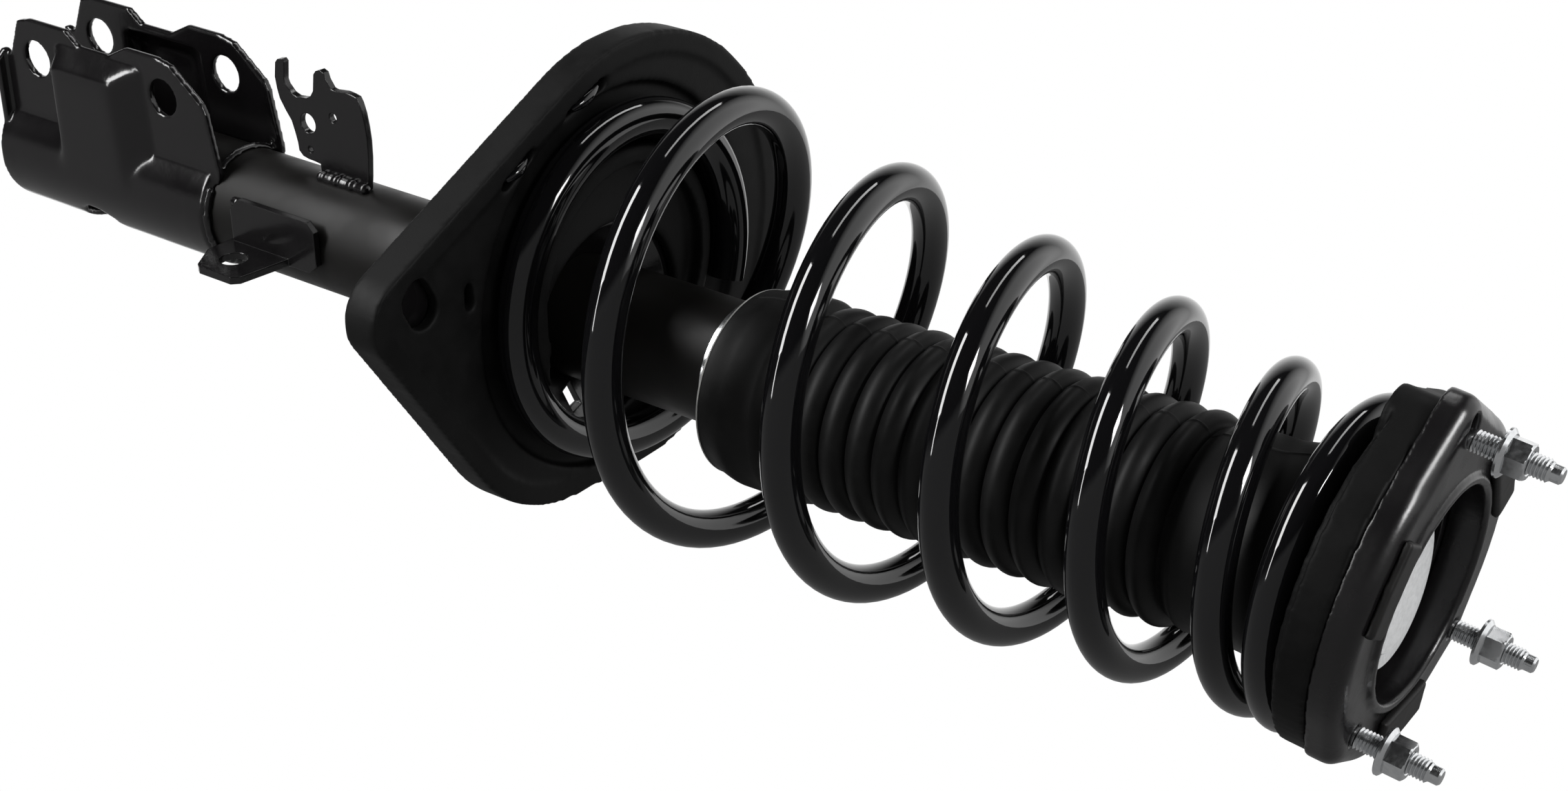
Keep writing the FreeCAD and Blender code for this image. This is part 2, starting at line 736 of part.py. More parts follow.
def lower_insulator():
    """Rubber seat with skirt, raised border, a channel and a hub for the coil, and openings."""
    body = new_body("lower_spring_insulator")
    flat = sketch(body, "block", "XY_Plane", seat_top - rubber_skirt)
    face = seat_top + channel_depth
    seat_outline(flat, 0)
    pad(body, flat, rubber_skirt + channel_depth + border_height)
    floor = sketch(body, "floor", "XY_Plane", face + border_height)
    seat_outline(floor, rubber_border)
    pocket(body, floor, border_height)
    channel = sketch(body, "channel", "XY_Plane", face)
    circle(channel, coil_low_x, coil_low_y, channel_radius)
    pocket(body, channel, channel_depth)
    inside = sketch(body, "inside", "XY_Plane", pan_top)
    seat_outline(inside, rubber_sheet)
    pocket(body, inside, rubber_skirt)
    hub = sketch(body, "hub", "XY_Plane", pan_top)
    circle(hub, coil_low_x, coil_low_y, hub_radius)
    pad(body, hub, rubber_sheet + hub_height)
    round_edges(body, hub_height * 0.5, ring_at(hub_radius, seat_top + hub_height))
    well = sketch(body, "well", "XY_Plane", seat_top + hub_height)
    circle(well, coil_low_x, coil_low_y, hub_radius - 8)
    pocket(body, well, hub_height - 1)
    bore = sketch(body, "bore", "XY_Plane", seat_top + hub_height)
    circle(bore, 0, 0, tube_radius + pan_cone + 1.5)
    pocket(body, bore, rubber_sheet + hub_height + 1)
    slots = sketch(body, "slots", "XY_Plane", face + border_height)
    hull(slots, [(-19, seat_y + 73.5, 2.4), (0, seat_y + 80, 2.3)])
    hull(slots, [(-57, seat_y + 57, 2.4), (-43, seat_y + 64.5, 2.3)])
    hull(slots, [(corner_x + 8.5, corner_y, 7.5), (corner_x + 5.5, corner_y + 6, 7.4)])
    hull(slots, [(-80, seat_y + 17, 2.6), (-80, seat_y + 23, 2.5)])
    pocket(body, slots, rubber_sheet + channel_depth + border_height + 1)
    return keep(body)


# Coil spring: a flat lower coil that spirals out, free coils that narrow and
# close up towards the mount, and a flat upper coil in the plane of the mount.

def spring_course():
    """Wire centre line as a function of the turn, and its first and last turn."""
    lean = math.radians(mount_tilt.value)
    wire = wire_radius.value
    base = seat_top.value + wire + spring_gap.value
    depth = insulator_drop.value + wire + 0.8
    top_y = mount_y.value + depth * math.sin(lean)
    top_z = -depth * math.cos(lean)
    ramp_in = 0.2
    ramp_out = 0.25
    pitch_ratio = 0.43
    turns = free_turns.value
    area = ramp_in / 2 + turns * (1 + pitch_ratio) / 2 + ramp_out * pitch_ratio / 2
    low_x, low_y = coil_low_x.value, coil_low_y.value
    high_x, high_y = coil_high_x.value, coil_high_y.value
    middle_z = top_z + (high_y - top_y) * math.tan(lean)
    pitch = (middle_z - base) / area
    start = coil_leave.value / 360.0
    free_x, free_y = coil_free_x.value, coil_free_y.value

    def rise(turn):
        """Climb above the flat lower coil, in units of the first pitch."""
        past = turn - (start - ramp_in)
        if past <= 0:
            return 0.0
        if past <= ramp_in:
            return past * past / (2 * ramp_in)
        climb = ramp_in / 2
        past -= ramp_in
        if past <= turns:
            return climb + past - (1 - pitch_ratio) * past * past / (2 * turns)
        climb += turns * (1 + pitch_ratio) / 2
        past -= turns
        if past <= ramp_out:
            return climb + pitch_ratio * (past - past * past / (2 * ramp_out))
        return climb + pitch_ratio * ramp_out / 2

    def ease(amount):
        amount = max(0.0, min(1.0, amount))
        return amount * amount * (3 - 2 * amount)

    def place(turn):
        height = pitch * rise(turn)
        share = height / (middle_z - base)
        free_radius = coil_wide.value + (coil_top.value - coil_wide.value) * share
        spread = ease((turn - start + 0.22) / 0.36)
        radius = coil_bottom.value + (free_radius - coil_bottom.value) * spread
        x = low_x + (free_x - low_x) * spread + (high_x - free_x) * share
        y = low_y + (free_y - low_y) * spread + (high_y - free_y) * share
        angle = 2 * math.pi * turn
        px = x + radius * math.cos(angle)
        py = y + radius * math.sin(angle)
        flat = ease((turn - start - turns + 0.9) / 0.9)
        pz = base + height + flat * (py - high_y) * math.tan(lean)
        return FreeCAD.Vector(px, py, pz)

    return place, coil_start.value / 360.0, start + turns + ramp_out + 0.3


def heading(place, turn):
    step = 0.002
    ahead = place(turn + step) - place(turn - step)
    return ahead.normalize()


def arc_along(start, direction, end):
    """Arc from a point, leaving in a direction, to an end point."""
    chord = end - start
    along = FreeCAD.Vector(chord).normalize()
    side = direction - along * direction.dot(along)
    bend = math.acos(max(-1.0, min(1.0, direction.dot(along))))
    if bend < 1e-5:
        return Part.LineSegment(start, end).toShape()
    crown = start + chord * 0.5 + side.normalize() * (chord.Length / 2 * math.tan(bend / 2))
    return Part.Arc(start, crown, end).toShape()


def biarc(start, leaving, end, arriving):
    """Two arcs that meet tangentially and keep both end directions."""
    span = end - start
    a = 2 * (1 - leaving.dot(arriving))
    b = 2 * span.dot(leaving + arriving)
    c = -span.dot(span)
    reach = (-b + math.sqrt(b * b - 4 * a * c)) / (2 * a)
    meet = (start + leaving * reach + end - arriving * reach) * 0.5
    half = (meet - start).normalize()
    through = half * (2 * leaving.dot(half)) - leaving
    return [arc_along(start, leaving, meet), arc_along(meet, through.normalize(), end)]


def coil_spring():
    """One wire swept along the course of the spring."""
    place, first, last = spring_course()
    quarters = int(round((last - first) * 4))
    edges = []
    for quarter in range(quarters):
        low = first + quarter / 4
        high = low + 0.25
        edges += biarc(place(low), heading(place, low), place(high), heading(place, high))
    path = Part.Wire(edges)
    section = Part.Wire([Part.makeCircle(wire_radius.value, place(first), heading(place, first))])
    sweep = Part.BRepOffsetAPI.MakePipeShell(path)
    sweep.add(section)
    sweep.build()
    sweep.makeSolid()
    spring = doc.addObject("Part::Feature", "coil_spring")
    spring.Shape = sweep.shape()
    expected = path.Length * math.pi * wire_radius.value ** 2
    print("spring wire %.1f mm long, volume %.4f of section times length" % (
        path.Length, spring.Shape.Volume / expected))
    steps = 48
    count = int((last - first) * steps)
    points = [place(first + i / steps) for i in range(count + 1)]
    least = 1e9
    for i in range(count + 1):
        for j in range(i + steps // 2, count + 1):
            least = min(least, points[i].distanceToPoint(points[j]))
    print("least gap of the spring to itself %.2f mm" % (least - 2 * wire_radius.value))
    return keep(spring)


# Dust boot

def boot_profile(inset):
    """Radius and height of each bend of the boot, from its rim up."""
    low = -boot_end.value
    rings = []
    rings.append((boot_valley.value + 2.2 - inset, low))
    rings.append((boot_valley.value + 4.8 - inset, low + 12))
    rings.append((boot_valley.value + 4.8 - inset, low + boot_cup.value - 6))
    height = low + boot_cup.value
    folds = int(boot_folds.value)
    pitch = fold_pitch.value
    crest = boot_radius.value
    valley = boot_valley.value
    rings.append((valley - inset, height))
    for fold in range(folds):
        for share, radius in ((0.28, crest), (0.72, crest), (1.0, valley)):
            rings.append((radius - inset, height + pitch * (fold + share)))
    top = height + pitch * folds
    rings.append((boot_valley.value + 3.2 - inset, top + 5))
    return rings, top


def dust_boot():
    """Folded rubber boot that hangs from the mount round the rod."""
    wall = boot_wall.value
    roof = -(cup_drop.value + fit_gap.value)
    outside, top = boot_profile(0.0)
    inside, top = boot_profile(wall)
    outside.append((boot_valley.value + 3.2, roof - 2))
    outside.append((boot_valley.value + 1.2, roof))
    inside.append((boot_valley.value + 3.2 - wall, roof - wall))

    def stack(rings):
        wires = []
        for radius, height in rings:
            share = max(0.0, (top - height) / (top + boot_end.value))
            middle = FreeCAD.Vector(boot_lean_x.value * share, boot_lean_y.value * share, height)
            ring = Part.makeCircle(radius, middle)
            wires.append(Part.Wire([ring]))
        return Part.makeLoft(wires, True, True)

    neck = stop_radius.value + fit_gap.value
    mouth = Part.makeCylinder(neck, 3 * wall, FreeCAD.Vector(0, 0, roof - 2 * wall))
    shell = stack(outside).cut(stack(inside)).cut(mouth)
    boot = doc.addObject("Part::Feature", "dust_boot")
    boot.Shape = shell
    return keep(boot)


def bump_stop():
    """Foam bump stop with three bulges, round the rod below the mount."""
    top = -(rod_shoulder + 0)
    hole = rod_radius + fit_gap
    step = stop_length / 4
    points = [
        (hole, top - stop_length),
        (stop_radius - 9, top - stop_length),
        (stop_radius - 5.5, top - step * 3.6),
        (stop_radius - 5.5, top - step * 3.2),
        (stop_radius - 9, top - step * 2.9),
        (stop_radius - 3, top - step * 2.5),
        (stop_radius - 3, top - step * 2.0),
        (stop_radius - 8, top - step * 1.7),
        (stop_radius, top - step * 1.2),
        (stop_radius, top),
        (hole, top),
    ]
    return keep(turned("bump_stop", points))


# Top mount

def upper_insulator():
    """Rubber ring between the mount and the upper coil, with a pad under the front stud."""
    body = new_body("upper_spring_insulator")
    height = insulator_drop - shell_height
    block = sketch(body, "block", "XY_Plane", -insulator_drop)
    hull(block, [(0, front_reach + 0.5 - lobe_radius, lobe_radius), (0, 0, insulator_radius)])
    pad(body, block, height)
    flare = lobe_radius + 4
    wide = sketch(body, "wide", "XY_Plane", -insulator_drop)
    circle(wide, 0, insulator_reach - flare, flare)
    narrow = sketch(body, "narrow", "XY_Plane", -shell_height)
    circle(narrow, 0, front_reach + 0.5 - lobe_radius, lobe_radius)
    lobe = body.newObject("PartDesign::AdditiveLoft", "insulator_lobe")
    lobe.Profile = wide
    lobe.Sections = [narrow]
    lobe.Ruled = True
    seat = sketch(body, "seat", "XY_Plane", -shell_height)
    circle(seat, 0, 0, plate_radius + fit_gap)
    pocket(body, seat, base_sheet)
    bore = sketch(body, "bore", "XY_Plane", -shell_height)
    circle(bore, 0, 0, cup_radius + mount_y + insulator_drop * sine(mount_tilt) + 0.8)
    pocket(body, bore, height + 1)
    lean_with_mount(body)
    return keep(body)


def stud_places():
    return [(as_size(0), front_stud), (rear_stud_x, -rear_stud_y), (-rear_stud_x, -rear_stud_y)]


def shell_outline(flat, inset):
    """Round shell with a lobe at each stud, drawn in by an inset."""
    lobe = lobe_radius - inset
    distance = root(rear_stud_x * rear_stud_x + rear_stud_y * rear_stud_y)
    side = rear_stud_x * (rear_reach - lobe_radius) / distance
    back = -rear_stud_y * (rear_reach - lobe_radius) / distance
    round_part = (0, 0, shell_radius - inset)
    hull(flat, [(0, front_reach - lobe_radius, lobe), round_part,
                (-side, back, lobe), round_part,
                (side, back, lobe), round_part])


def mount_shell():
    """Drawn steel shell with a rolled central hole and a lobe at each stud."""
    body = new_body("mount_shell")
    wall = shell_sheet
    flat = sketch(body, "drawn", "XY_Plane", -shell_height)
    shell_outline(flat, 0)
    pad(body, flat, shell_height)
    round_edges(body, shell_round, lambda edge: abs(edge.CenterOfMass.z) < 0.01)
    corner = shell_round * 0.72
    for name, inset, roof in (("lower", wall, corner), ("upper", corner, wall)):
        room = sketch(body, "room_" + name, "XY_Plane", -shell_height)
        shell_outline(room, inset)
        circle(room, 0, 0, mount_hole + wall)
        pocket(body, room, shell_height - roof, reverse=True)
    hole = sketch(body, "hole", "XY_Plane", 1)
    circle(hole, 0, 0, mount_hole)
    pocket(body, hole, shell_height + 2)
    rim = sketch(body, "rim", "XZ_Plane")
    polygon(rim, [
        (mount_hole, -1),
        (hole_rim, -1),
        (hole_rim, rim_height * 0.4),
        (hole_rim - 0.8, rim_height),
        (mount_hole + 0.8, rim_height),
        (mount_hole, rim_height * 0.4),
    ])
    revolve(body, rim)
    heads = sketch(body, "heads", "XY_Plane", -shell_height)
    for x, y in stud_places():
        circle(heads, x, y, stud_head + fit_gap)
    pocket(body, heads, shell_height - wall, reverse=True)
    holes = sketch(body, "holes", "XY_Plane", rim_height)
    for x, y in stud_places():
        circle(holes, x, y, stud_radius + fit_gap)
    pocket(body, holes, shell_height)
    lean_with_mount(body)
    return keep(body)


def tilted_cylinder(name, radius, low, height):
    thing = doc.addObject("Part::Cylinder", name)
    radius, low, height = as_size(radius), as_size(low), as_size(height)
    thing.Radius = radius.value
    thing.Height = height.value
    thing.setExpression("Radius", radius.text)
    thing.setExpression("Height", height.text)
    text = ("create(<<placement>>; create(<<vector>>; 0; Sizes.mount_y - %s * sin(Sizes.mount_tilt); "
            "%s * cos(Sizes.mount_tilt)); "
            "create(<<rotation>>; create(<<vector>>; 1; 0; 0); Sizes.mount_tilt))")
    thing.setExpression("Placement", text % (low.text, low.text))
    return thing


def straight_cylinder(name, radius, low, height):
    thing = doc.addObject("Part::Cylinder", name)
    radius, low, height = as_size(radius), as_size(low), as_size(height)
    thing.Radius = radius.value
    thing.Height = height.value
    thing.setExpression("Radius", radius.text)
    thing.setExpression("Height", height.text)
    thing.Placement = FreeCAD.Placement(FreeCAD.Vector(0, 0, low.value), FreeCAD.Rotation())
    thing.setExpression("Placement.Base.z", low.text)
    return thing


def combine(kind, name, parts):
    """Boolean of document objects."""
    thing = doc.addObject(kind, name)
    if kind == "Part::Cut":
        thing.Base, thing.Tool = parts
    else:
        thing.Shapes = parts
    return thing


def mount_base_plate():
    """Lower mount plate with a straight cup drawn down round the strut axis."""
    plate = tilted_cylinder("base_disc", plate_radius, -(shell_height + base_sheet), base_sheet)
    below = tilted_cylinder("base_below", shell_radius, -60, 60 - shell_height)
    wall = straight_cylinder("cup_outside", cup_radius, -cup_drop, cup_drop)
    clipped = combine("Part::MultiCommon", "cup_clipped", [below, wall])
    whole = combine("Part::MultiFuse", "base_whole", [plate, clipped])
    room = straight_cylinder("cup_inside", cup_radius - base_sheet, -(cup_drop - base_sheet), cup_drop + 20)
    mouth = straight_cylinder("cup_mouth_cut", cup_mouth, -(cup_drop + 5), 20)
    opened = combine("Part::MultiFuse", "base_room", [room, mouth])
    plate = combine("Part::Cut", "mount_base_plate", [whole, opened])
    return keep(plate)


def mount_rubber():
    """Bonded rubber ring between core and cup."""
    washer_top = -(rod_shoulder - washer_height)
    low = -(cup_drop - base_sheet) + fit_gap
    outer = cup_radius - base_sheet - fit_gap
    top = washer_top + core_height + 6
    points = [
        (core_radius + fit_gap, low + 1),
        (cup_mouth + 1, low),
        (outer, low),
        (outer, top + 2),
        (outer - 4, top + 2),
        (core_radius + 5, top - 3),
        (core_radius + fit_gap, washer_top + core_height),
    ]
    return keep(turned("mount_rubber", points))


def mount_lugs():
    """Three rubber lugs on the mount face, from the hole to the outer edge."""
    lugs = []
    half = lug_width / 2
    inner = hole_rim + 1
    outer = shell_radius - shell_round
    for index, angle in enumerate((30, 150, 270)):
        turn_x = math.cos(math.radians(angle))
        turn_y = math.sin(math.radians(angle))
        body = new_body("lug_%d" % (index + 1))
        flat = sketch(body, "outline", "XY_Plane", fit_gap)
        corners = []
        for along, across in ((inner, -half), (outer, -half), (outer + 1.5, 0), (outer, half), (inner, half)):
            corners.append((along * turn_x - across * turn_y, along * turn_y + across * turn_x))
        polygon(flat, corners)
        pad(body, flat, lug_height)
        crown = fit_gap.value + lug_height.value
        round_edges(body, 1.2, lambda edge: abs(edge.CenterOfMass.z - crown) < 0.01)
        lugs.append(body)
    group = doc.addObject("Part::Compound", "mount_lugs")
    group.Links = lugs
    lean_with_mount(group)
    return keep(group)


def mount_core():
    """Steel core and washer on the rod shoulder, the rod nut and the plated cover."""
    low = -rod_shoulder
    washer_top = low + washer_height
    core_top = washer_top + core_height
    hole = rod_neck + fit_gap
    keep(turned("rod_washer", tube_points(hole, core_radius, low, washer_top)))
    keep(turned("mount_core", tube_points(hole, core_radius, washer_top, core_top)))
    body = new_body("rod_nut")
    flat = sketch(body, "hex", "XY_Plane", core_top)
    hexagon(flat, 0, 0, rod_nut_flats)
    circle(flat, 0, 0, hole)
    pad(body, flat, rod_nut_height)
    keep(body)
    face = -cover_drop
    inside = cover_radius - cover_sheet
    points = [
        (core_radius - 4, core_top),
        (core_radius - 1, core_top),
        (core_radius - 1, face - 5),
        (cover_radius, face - 3),
        (cover_radius, face - 1.5),
        (cover_radius - cover_step, face - 1.5),
        (cover_radius - cover_step - 1.5, face),
        (0, face),
        (0, face - cover_sheet),
        (cover_radius - cover_step - 2, face - cover_sheet),
        (core_radius - 2.5, face - 5),
        (core_radius - 4, face - 5),
    ]
    keep(turned("centre_cover", points))


def mount_studs():
    """Three press-in studs with their heads under the shell; where a nut sits, at thread depth."""
    studs = []
    for index, (x, y) in enumerate(stud_places()):
        body = new_body("stud_%d" % (index + 1))
        head = sketch(body, "head", "XY_Plane", -(shell_sheet + head_height))
        circle(head, x, y, stud_head)
        pad(body, head, head_height)
        shank = sketch(body, "shank", "XY_Plane", -shell_sheet)
        circle(shank, x, y, stud_radius)
        pad(body, shank, shell_sheet + nut_face)
        engaged = sketch(body, "engaged", "XY_Plane", nut_face)
        circle(engaged, x, y, thread_core)
        pad(body, engaged, flange_nut_height)
        free = sketch(body, "free", "XY_Plane", nut_top)
        circle(free, x, y, stud_radius)
        pad(body, free, stud_reach - 4 - nut_top)
        point = sketch(body, "dog_point", "XY_Plane", stud_reach - 4)
        circle(point, x, y, stud_radius - 1.0)
        pad(body, point, 4)
        studs.append(body)
    group = doc.addObject("Part::Compound", "mount_studs")
    group.Links = studs
    lean_with_mount(group)
    return keep(group)


def flange_nuts():
    """Three flange nuts part way up the studs."""
    nuts = []
    for index, (x, y) in enumerate(stud_places()):
        body = new_body("nut_%d" % (index + 1))
        flange = sketch(body, "flange", "XY_Plane", nut_face)
        circle(flange, x, y, flange_radius)
        circle(flange, x, y, thread_core + fit_gap)
        pad(body, flange, 1.6)
        hexes = sketch(body, "hex", "XY_Plane", nut_face + 1.6)
        hexagon(hexes, x, y, flange_nut_flats)
        circle(hexes, x, y, thread_core + fit_gap)
        pad(body, hexes, flange_nut_height - 1.6)
        nuts.append(body)
    group = doc.addObject("Part::Compound", "flange_nuts")
    group.Links = nuts
    lean_with_mount(group)
    return keep(group)


# Knuckle bracket: one sheet wrapped round the tube, with two ears, a stiffening
# bulge in each side between the bolt holes, a window in the back and a flared
# lower lip.

def ear_outline(flat):
    upper = -(bolt_centre - bolt_pitch / 2)
    lower = -(bolt_centre + bolt_pitch / 2)
    middle = -bolt_centre
    notch = ear_reach - ear_notch
    polygon(flat, [
        (0, lower - 20),
        (bolt_reach - 2, lower - 19),
        (ear_reach - 2, lower - 11),
        (ear_reach, lower - 3),
        (ear_reach, middle - 20),
        (notch, middle - 12),
        (notch, middle + 8),
        (ear_reach, middle + 20),
        (ear_reach, upper - 3),
        (ear_reach - 2, upper + 7),
        (bolt_reach + 2, upper + 25),
        (bolt_reach - 2, upper + 27),
        (21, upper + 32),
        (0, upper + 27),
    ])


def bulge_outline(flat, inset, top):
    """Footprint of the bulge at the ear (top = 0) or at its crest (top = 1)."""
    middle = -bolt_centre
    front = ear_reach - ear_notch - 1 - 8 * top - inset
    high = middle + 30 - 14 * top - inset
    low = middle - 27 + 3 * top + inset
    polygon(flat, [(-4, low), (front - 2, low), (front, low + 3), (front, high - 3), (front - 2, high), (-4, high + 4)])


def knuckle_bracket():
    body = new_body("knuckle_bracket")
    inner = tube_radius + fit_gap
    outer = inner + bracket_sheet
    face = ear_gap / 2 + bracket_sheet
    low = -bracket_end
    height = bracket_end - bracket_top
    wrap = sketch(body, "wrap", "XY_Plane", low)
    circle(wrap, 0, 0, outer)
    pad(body, wrap, height)
    ears = sketch(body, "ears", "YZ_Plane", -face)
    ear_outline(ears)
    pad(body, ears, face * 2)
    upright = lambda edge: (abs(abs(edge.CenterOfMass.x) - face.value) < 0.05
                            and edge.CenterOfMass.y > 10
                            and edge.CenterOfMass.y < outer.value
                            and abs(edge.tangentAt(edge.FirstParameter).z) > 0.99)
    round_edges(body, bracket_sheet * 1.6, upright)
    for side in (1, -1):
        root = sketch(body, "bulge_root%d" % side, "YZ_Plane", face * side - 0.02 * side)
        bulge_outline(root, 0, 0)
        crest = sketch(body, "bulge_crest%d" % side, "YZ_Plane", (outer - 0.1) * side)
        bulge_outline(crest, 0, 1)
        bulge = body.newObject("PartDesign::AdditiveLoft", "bulge_%s" % ("right" if side > 0 else "left"))
        bulge.Profile = root
        bulge.Sections = [crest]
        bulge.Ruled = True
    doc.recompute()
    foot = sketch(body, "ear_lip", "XY_Plane", low)
    out = face + lip_reach
    polygon(foot, [(-face, -4), (face, -4), (out, 6), (out, bolt_reach - 4), (face, bolt_reach),
                   (-face, bolt_reach), (-out, bolt_reach - 4), (-out, 6)])
    pad(body, foot, bracket_sheet)
    web = sketch(body, "ear_foot", "XY_Plane", low)
    polygon(web, [(-face, 0), (face, 0), (face, bolt_reach - 1), (-face, bolt_reach - 1)])
    pad(body, web, 10)
    above = -(bolt_centre - bolt_pitch / 2) + 50
    reach = above - low + 30
    bore = sketch(body, "bore", "XY_Plane", above)
    circle(bore, 0, 0, inner)
    pocket(body, bore, reach)
    gap = sketch(body, "gap", "XY_Plane", above)
    half = ear_gap / 2
    polygon(gap, [(-half, 0), (half, 0), (half, ear_reach + 20), (-half, ear_reach + 20)])
    pocket(body, gap, reach)
    for side in (1, -1):
        root = sketch(body, "hollow_root%d" % side, "YZ_Plane", (half - 0.5) * side)
        bulge_outline(root, bracket_sheet * 0.75, 0)
        crest = sketch(body, "hollow_crest%d" % side, "YZ_Plane", (outer - bracket_sheet) * side)
        bulge_outline(crest, bracket_sheet * 0.75, 1)
        hollow = body.newObject("PartDesign::SubtractiveLoft", "hollow_%s" % ("right" if side > 0 else "left"))
        hollow.Profile = root
        hollow.Sections = [crest]
        hollow.Ruled = True
    doc.recompute()
    bolts = sketch(body, "bolt_holes", "YZ_Plane", face + 1)
    for side in (1, -1):
        circle(bolts, bolt_reach, -(bolt_centre - bolt_pitch * 0.5 * side), bolt_radius)
    pocket(body, bolts, face * 2 + 2)
    window = sketch(body, "window", "XZ_Plane")
    half_slot = (window_length - window_height) / 2
    hull(window, [(-half_slot, -(bolt_centre + 10), window_height / 2), (half_slot, -(bolt_centre + 10), window_height / 2)])
    pocket(body, window, outer + 10, reverse=True)
    weld = sketch(body, "collar_weld", "XZ_Plane")
    top = -bracket_top
    polygon(weld, [(inner, top - 0.5), (outer - 0.5, top - 0.5), (outer - 0.5, top), (inner, top + weld_size)])
    revolve(body, weld)
    return keep(body)


def wire_bracket():
    """Upright plate on the front of the tube with an open cradle for a wire."""
    body = new_body("wire_bracket")
    near = tube_radius + fit_gap
    top = -wire_drop
    flat = sketch(body, "plate", "YZ_Plane", -wire_sheet / 2)
    polygon(flat, [
        (near, top),
        (near + 40, top - 1),
        (near + 42.5, top - 12),
        (near + 48, top - 22),
        (near + 48, top - 25.5),
        (near + 37, top - 27),
        (near + 31, top - 31),
        (near + 31, top - 37),
        (near + 36, top - 42),
        (near + 46, top - 44),
        (near + 48, top - 47.5),
        (near + 46.5, top - 51),
        (near + 32, top - 45),
        (near + 14, top - 42),
        (near + 6, top - 36),
        (near + 6, top - 27),
        (near, top - 26),
    ])
    pad(body, flat, wire_sheet)
    hole = sketch(body, "hole", "YZ_Plane", wire_sheet)
    circle(hole, near + 22, top - 32, 4.2)
    pocket(body, hole, wire_sheet * 2)
    flange = sketch(body, "flange", "YZ_Plane", -wire_sheet * 1.7)
    polygon(flange, [(near + 5, top - wire_sheet), (near + 5, top), (near + 38, top - 0.9),
                     (near + 38, top - 0.9 - wire_sheet)])
    pad(body, flange, wire_sheet * 2.2)
    return keep(body)


def hose_bracket():
    """Plate on the side of the tube with a turned-out foot and a hose hole."""
    body = new_body("hose_bracket")
    near = tube_radius + fit_gap
    top = -(hose_drop - tab_above)
    low = top - tab_length
    tab = sketch(body, "tab", "YZ_Plane", -(near + hose_sheet))
    polygon(tab, [(-6, low), (tab_width - 11.5, low), (tab_width - 6, low + 5), (tab_width - 6, top - 4),
                  (tab_width - 10, top), (-2, top), (-6, top - 5)])
    pad(body, tab, hose_sheet)
    foot = sketch(body, "foot", "XZ_Plane", 6)
    out = -(hose_reach + 14.2)
    middle = -hose_drop
    polygon(foot, [(-near, middle - 16.5), (out + 14.5, middle - 16.5), (out + 1.5, middle - 8.5),
                   (out, middle - 6), (out, middle + 13), (out + 3, middle + 16), (-near, middle + 20)])
    pad(body, foot, hose_sheet, reverse=True)
    hole = sketch(body, "hole", "XZ_Plane", 7)
    circle(hole, -hose_reach, middle, hose_hole)
    pocket(body, hole, hose_sheet * 2)
    return keep(body)


outer_tube()
tube_bottom_cap()
pressure_tube()
base_valve_body()
rod_guide()
striker_cap()
spring_seat_pan()
lower_insulator()
knuckle_bracket()
wire_bracket()
hose_bracket()
damper_rod()
bump_stop()
dust_boot()
coil_spring()
upper_insulator()
mount_shell()
mount_base_plate()
mount_rubber()
mount_lugs()
mount_core()
mount_studs()
flange_nuts()

doc.recompute()

faults = []
for thing in doc.Objects:
    if "Invalid" in thing.State or "Error" in thing.State:
        faults.append(thing.Name)
for thing in nodes:
    if thing.Shape.isNull() or not thing.Shape.isValid() or not thing.Shape.Solids:
        faults.append(thing.Label)
if faults:
    raise RuntimeError("failed objects: " + ", ".join(faults))

os.makedirs("parts", exist_ok=True)
for thing in nodes:
    thing.Shape.exportStep("parts/%s.step" % thing.Label)
print("%d nodes written" % len(nodes))
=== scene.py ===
# %% [markdown]
# # A coil-over strut, dressed for its portrait
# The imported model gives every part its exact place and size. This lesson adds what the
# eye expects on top of that: paint with a slight orange peel, dull rubber, bright zinc,
# rolled threads, weld ripples and softly rounded edges. We start by loading the packed
# model, which becomes the frame that every later piece is hung on.

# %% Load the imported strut
import json
import math

import bmesh
import bpy
from mathutils import Matrix, Vector
from mathutils.geometry import tessellate_polygon

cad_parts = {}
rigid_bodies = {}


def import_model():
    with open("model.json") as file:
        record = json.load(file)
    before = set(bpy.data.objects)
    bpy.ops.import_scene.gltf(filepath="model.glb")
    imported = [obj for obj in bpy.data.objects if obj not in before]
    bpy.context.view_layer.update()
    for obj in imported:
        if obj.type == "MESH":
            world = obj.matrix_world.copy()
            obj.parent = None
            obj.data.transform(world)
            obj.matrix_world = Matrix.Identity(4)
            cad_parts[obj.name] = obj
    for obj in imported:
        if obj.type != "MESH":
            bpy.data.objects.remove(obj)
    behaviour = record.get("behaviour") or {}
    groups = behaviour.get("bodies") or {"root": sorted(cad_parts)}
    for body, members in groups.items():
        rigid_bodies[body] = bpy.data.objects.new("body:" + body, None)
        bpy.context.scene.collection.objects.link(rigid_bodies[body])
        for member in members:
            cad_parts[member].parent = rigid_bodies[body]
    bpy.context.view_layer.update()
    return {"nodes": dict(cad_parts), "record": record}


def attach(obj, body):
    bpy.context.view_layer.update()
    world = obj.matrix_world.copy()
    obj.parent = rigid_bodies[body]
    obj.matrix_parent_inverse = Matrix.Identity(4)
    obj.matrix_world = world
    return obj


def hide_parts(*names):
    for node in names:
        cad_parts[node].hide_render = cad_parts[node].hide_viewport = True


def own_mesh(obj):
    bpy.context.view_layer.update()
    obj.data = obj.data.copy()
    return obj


for leftover in list(bpy.data.objects):
    bpy.data.objects.remove(leftover)
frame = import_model()
nodes = frame["nodes"]
MM = 0.001

# %% [markdown]
# Paint charts give colours as sRGB hex codes, while Blender's shaders want linear light,
# so one function turns the one into the other. A second small function adds any shader
# or geometry node: what is a socket gets linked, and what is a value is set.

# %% Colours and nodes
def colour(code):
    """Linear red, green, blue and alpha of an sRGB hex code."""
    linear = []
    for place in (0, 2, 4):
        value = int(code[place:place + 2], 16) / 255
        linear.append(value / 12.92 if value <= 0.04045 else ((value + 0.055) / 1.055) ** 2.4)
    return (*linear, 1.0)


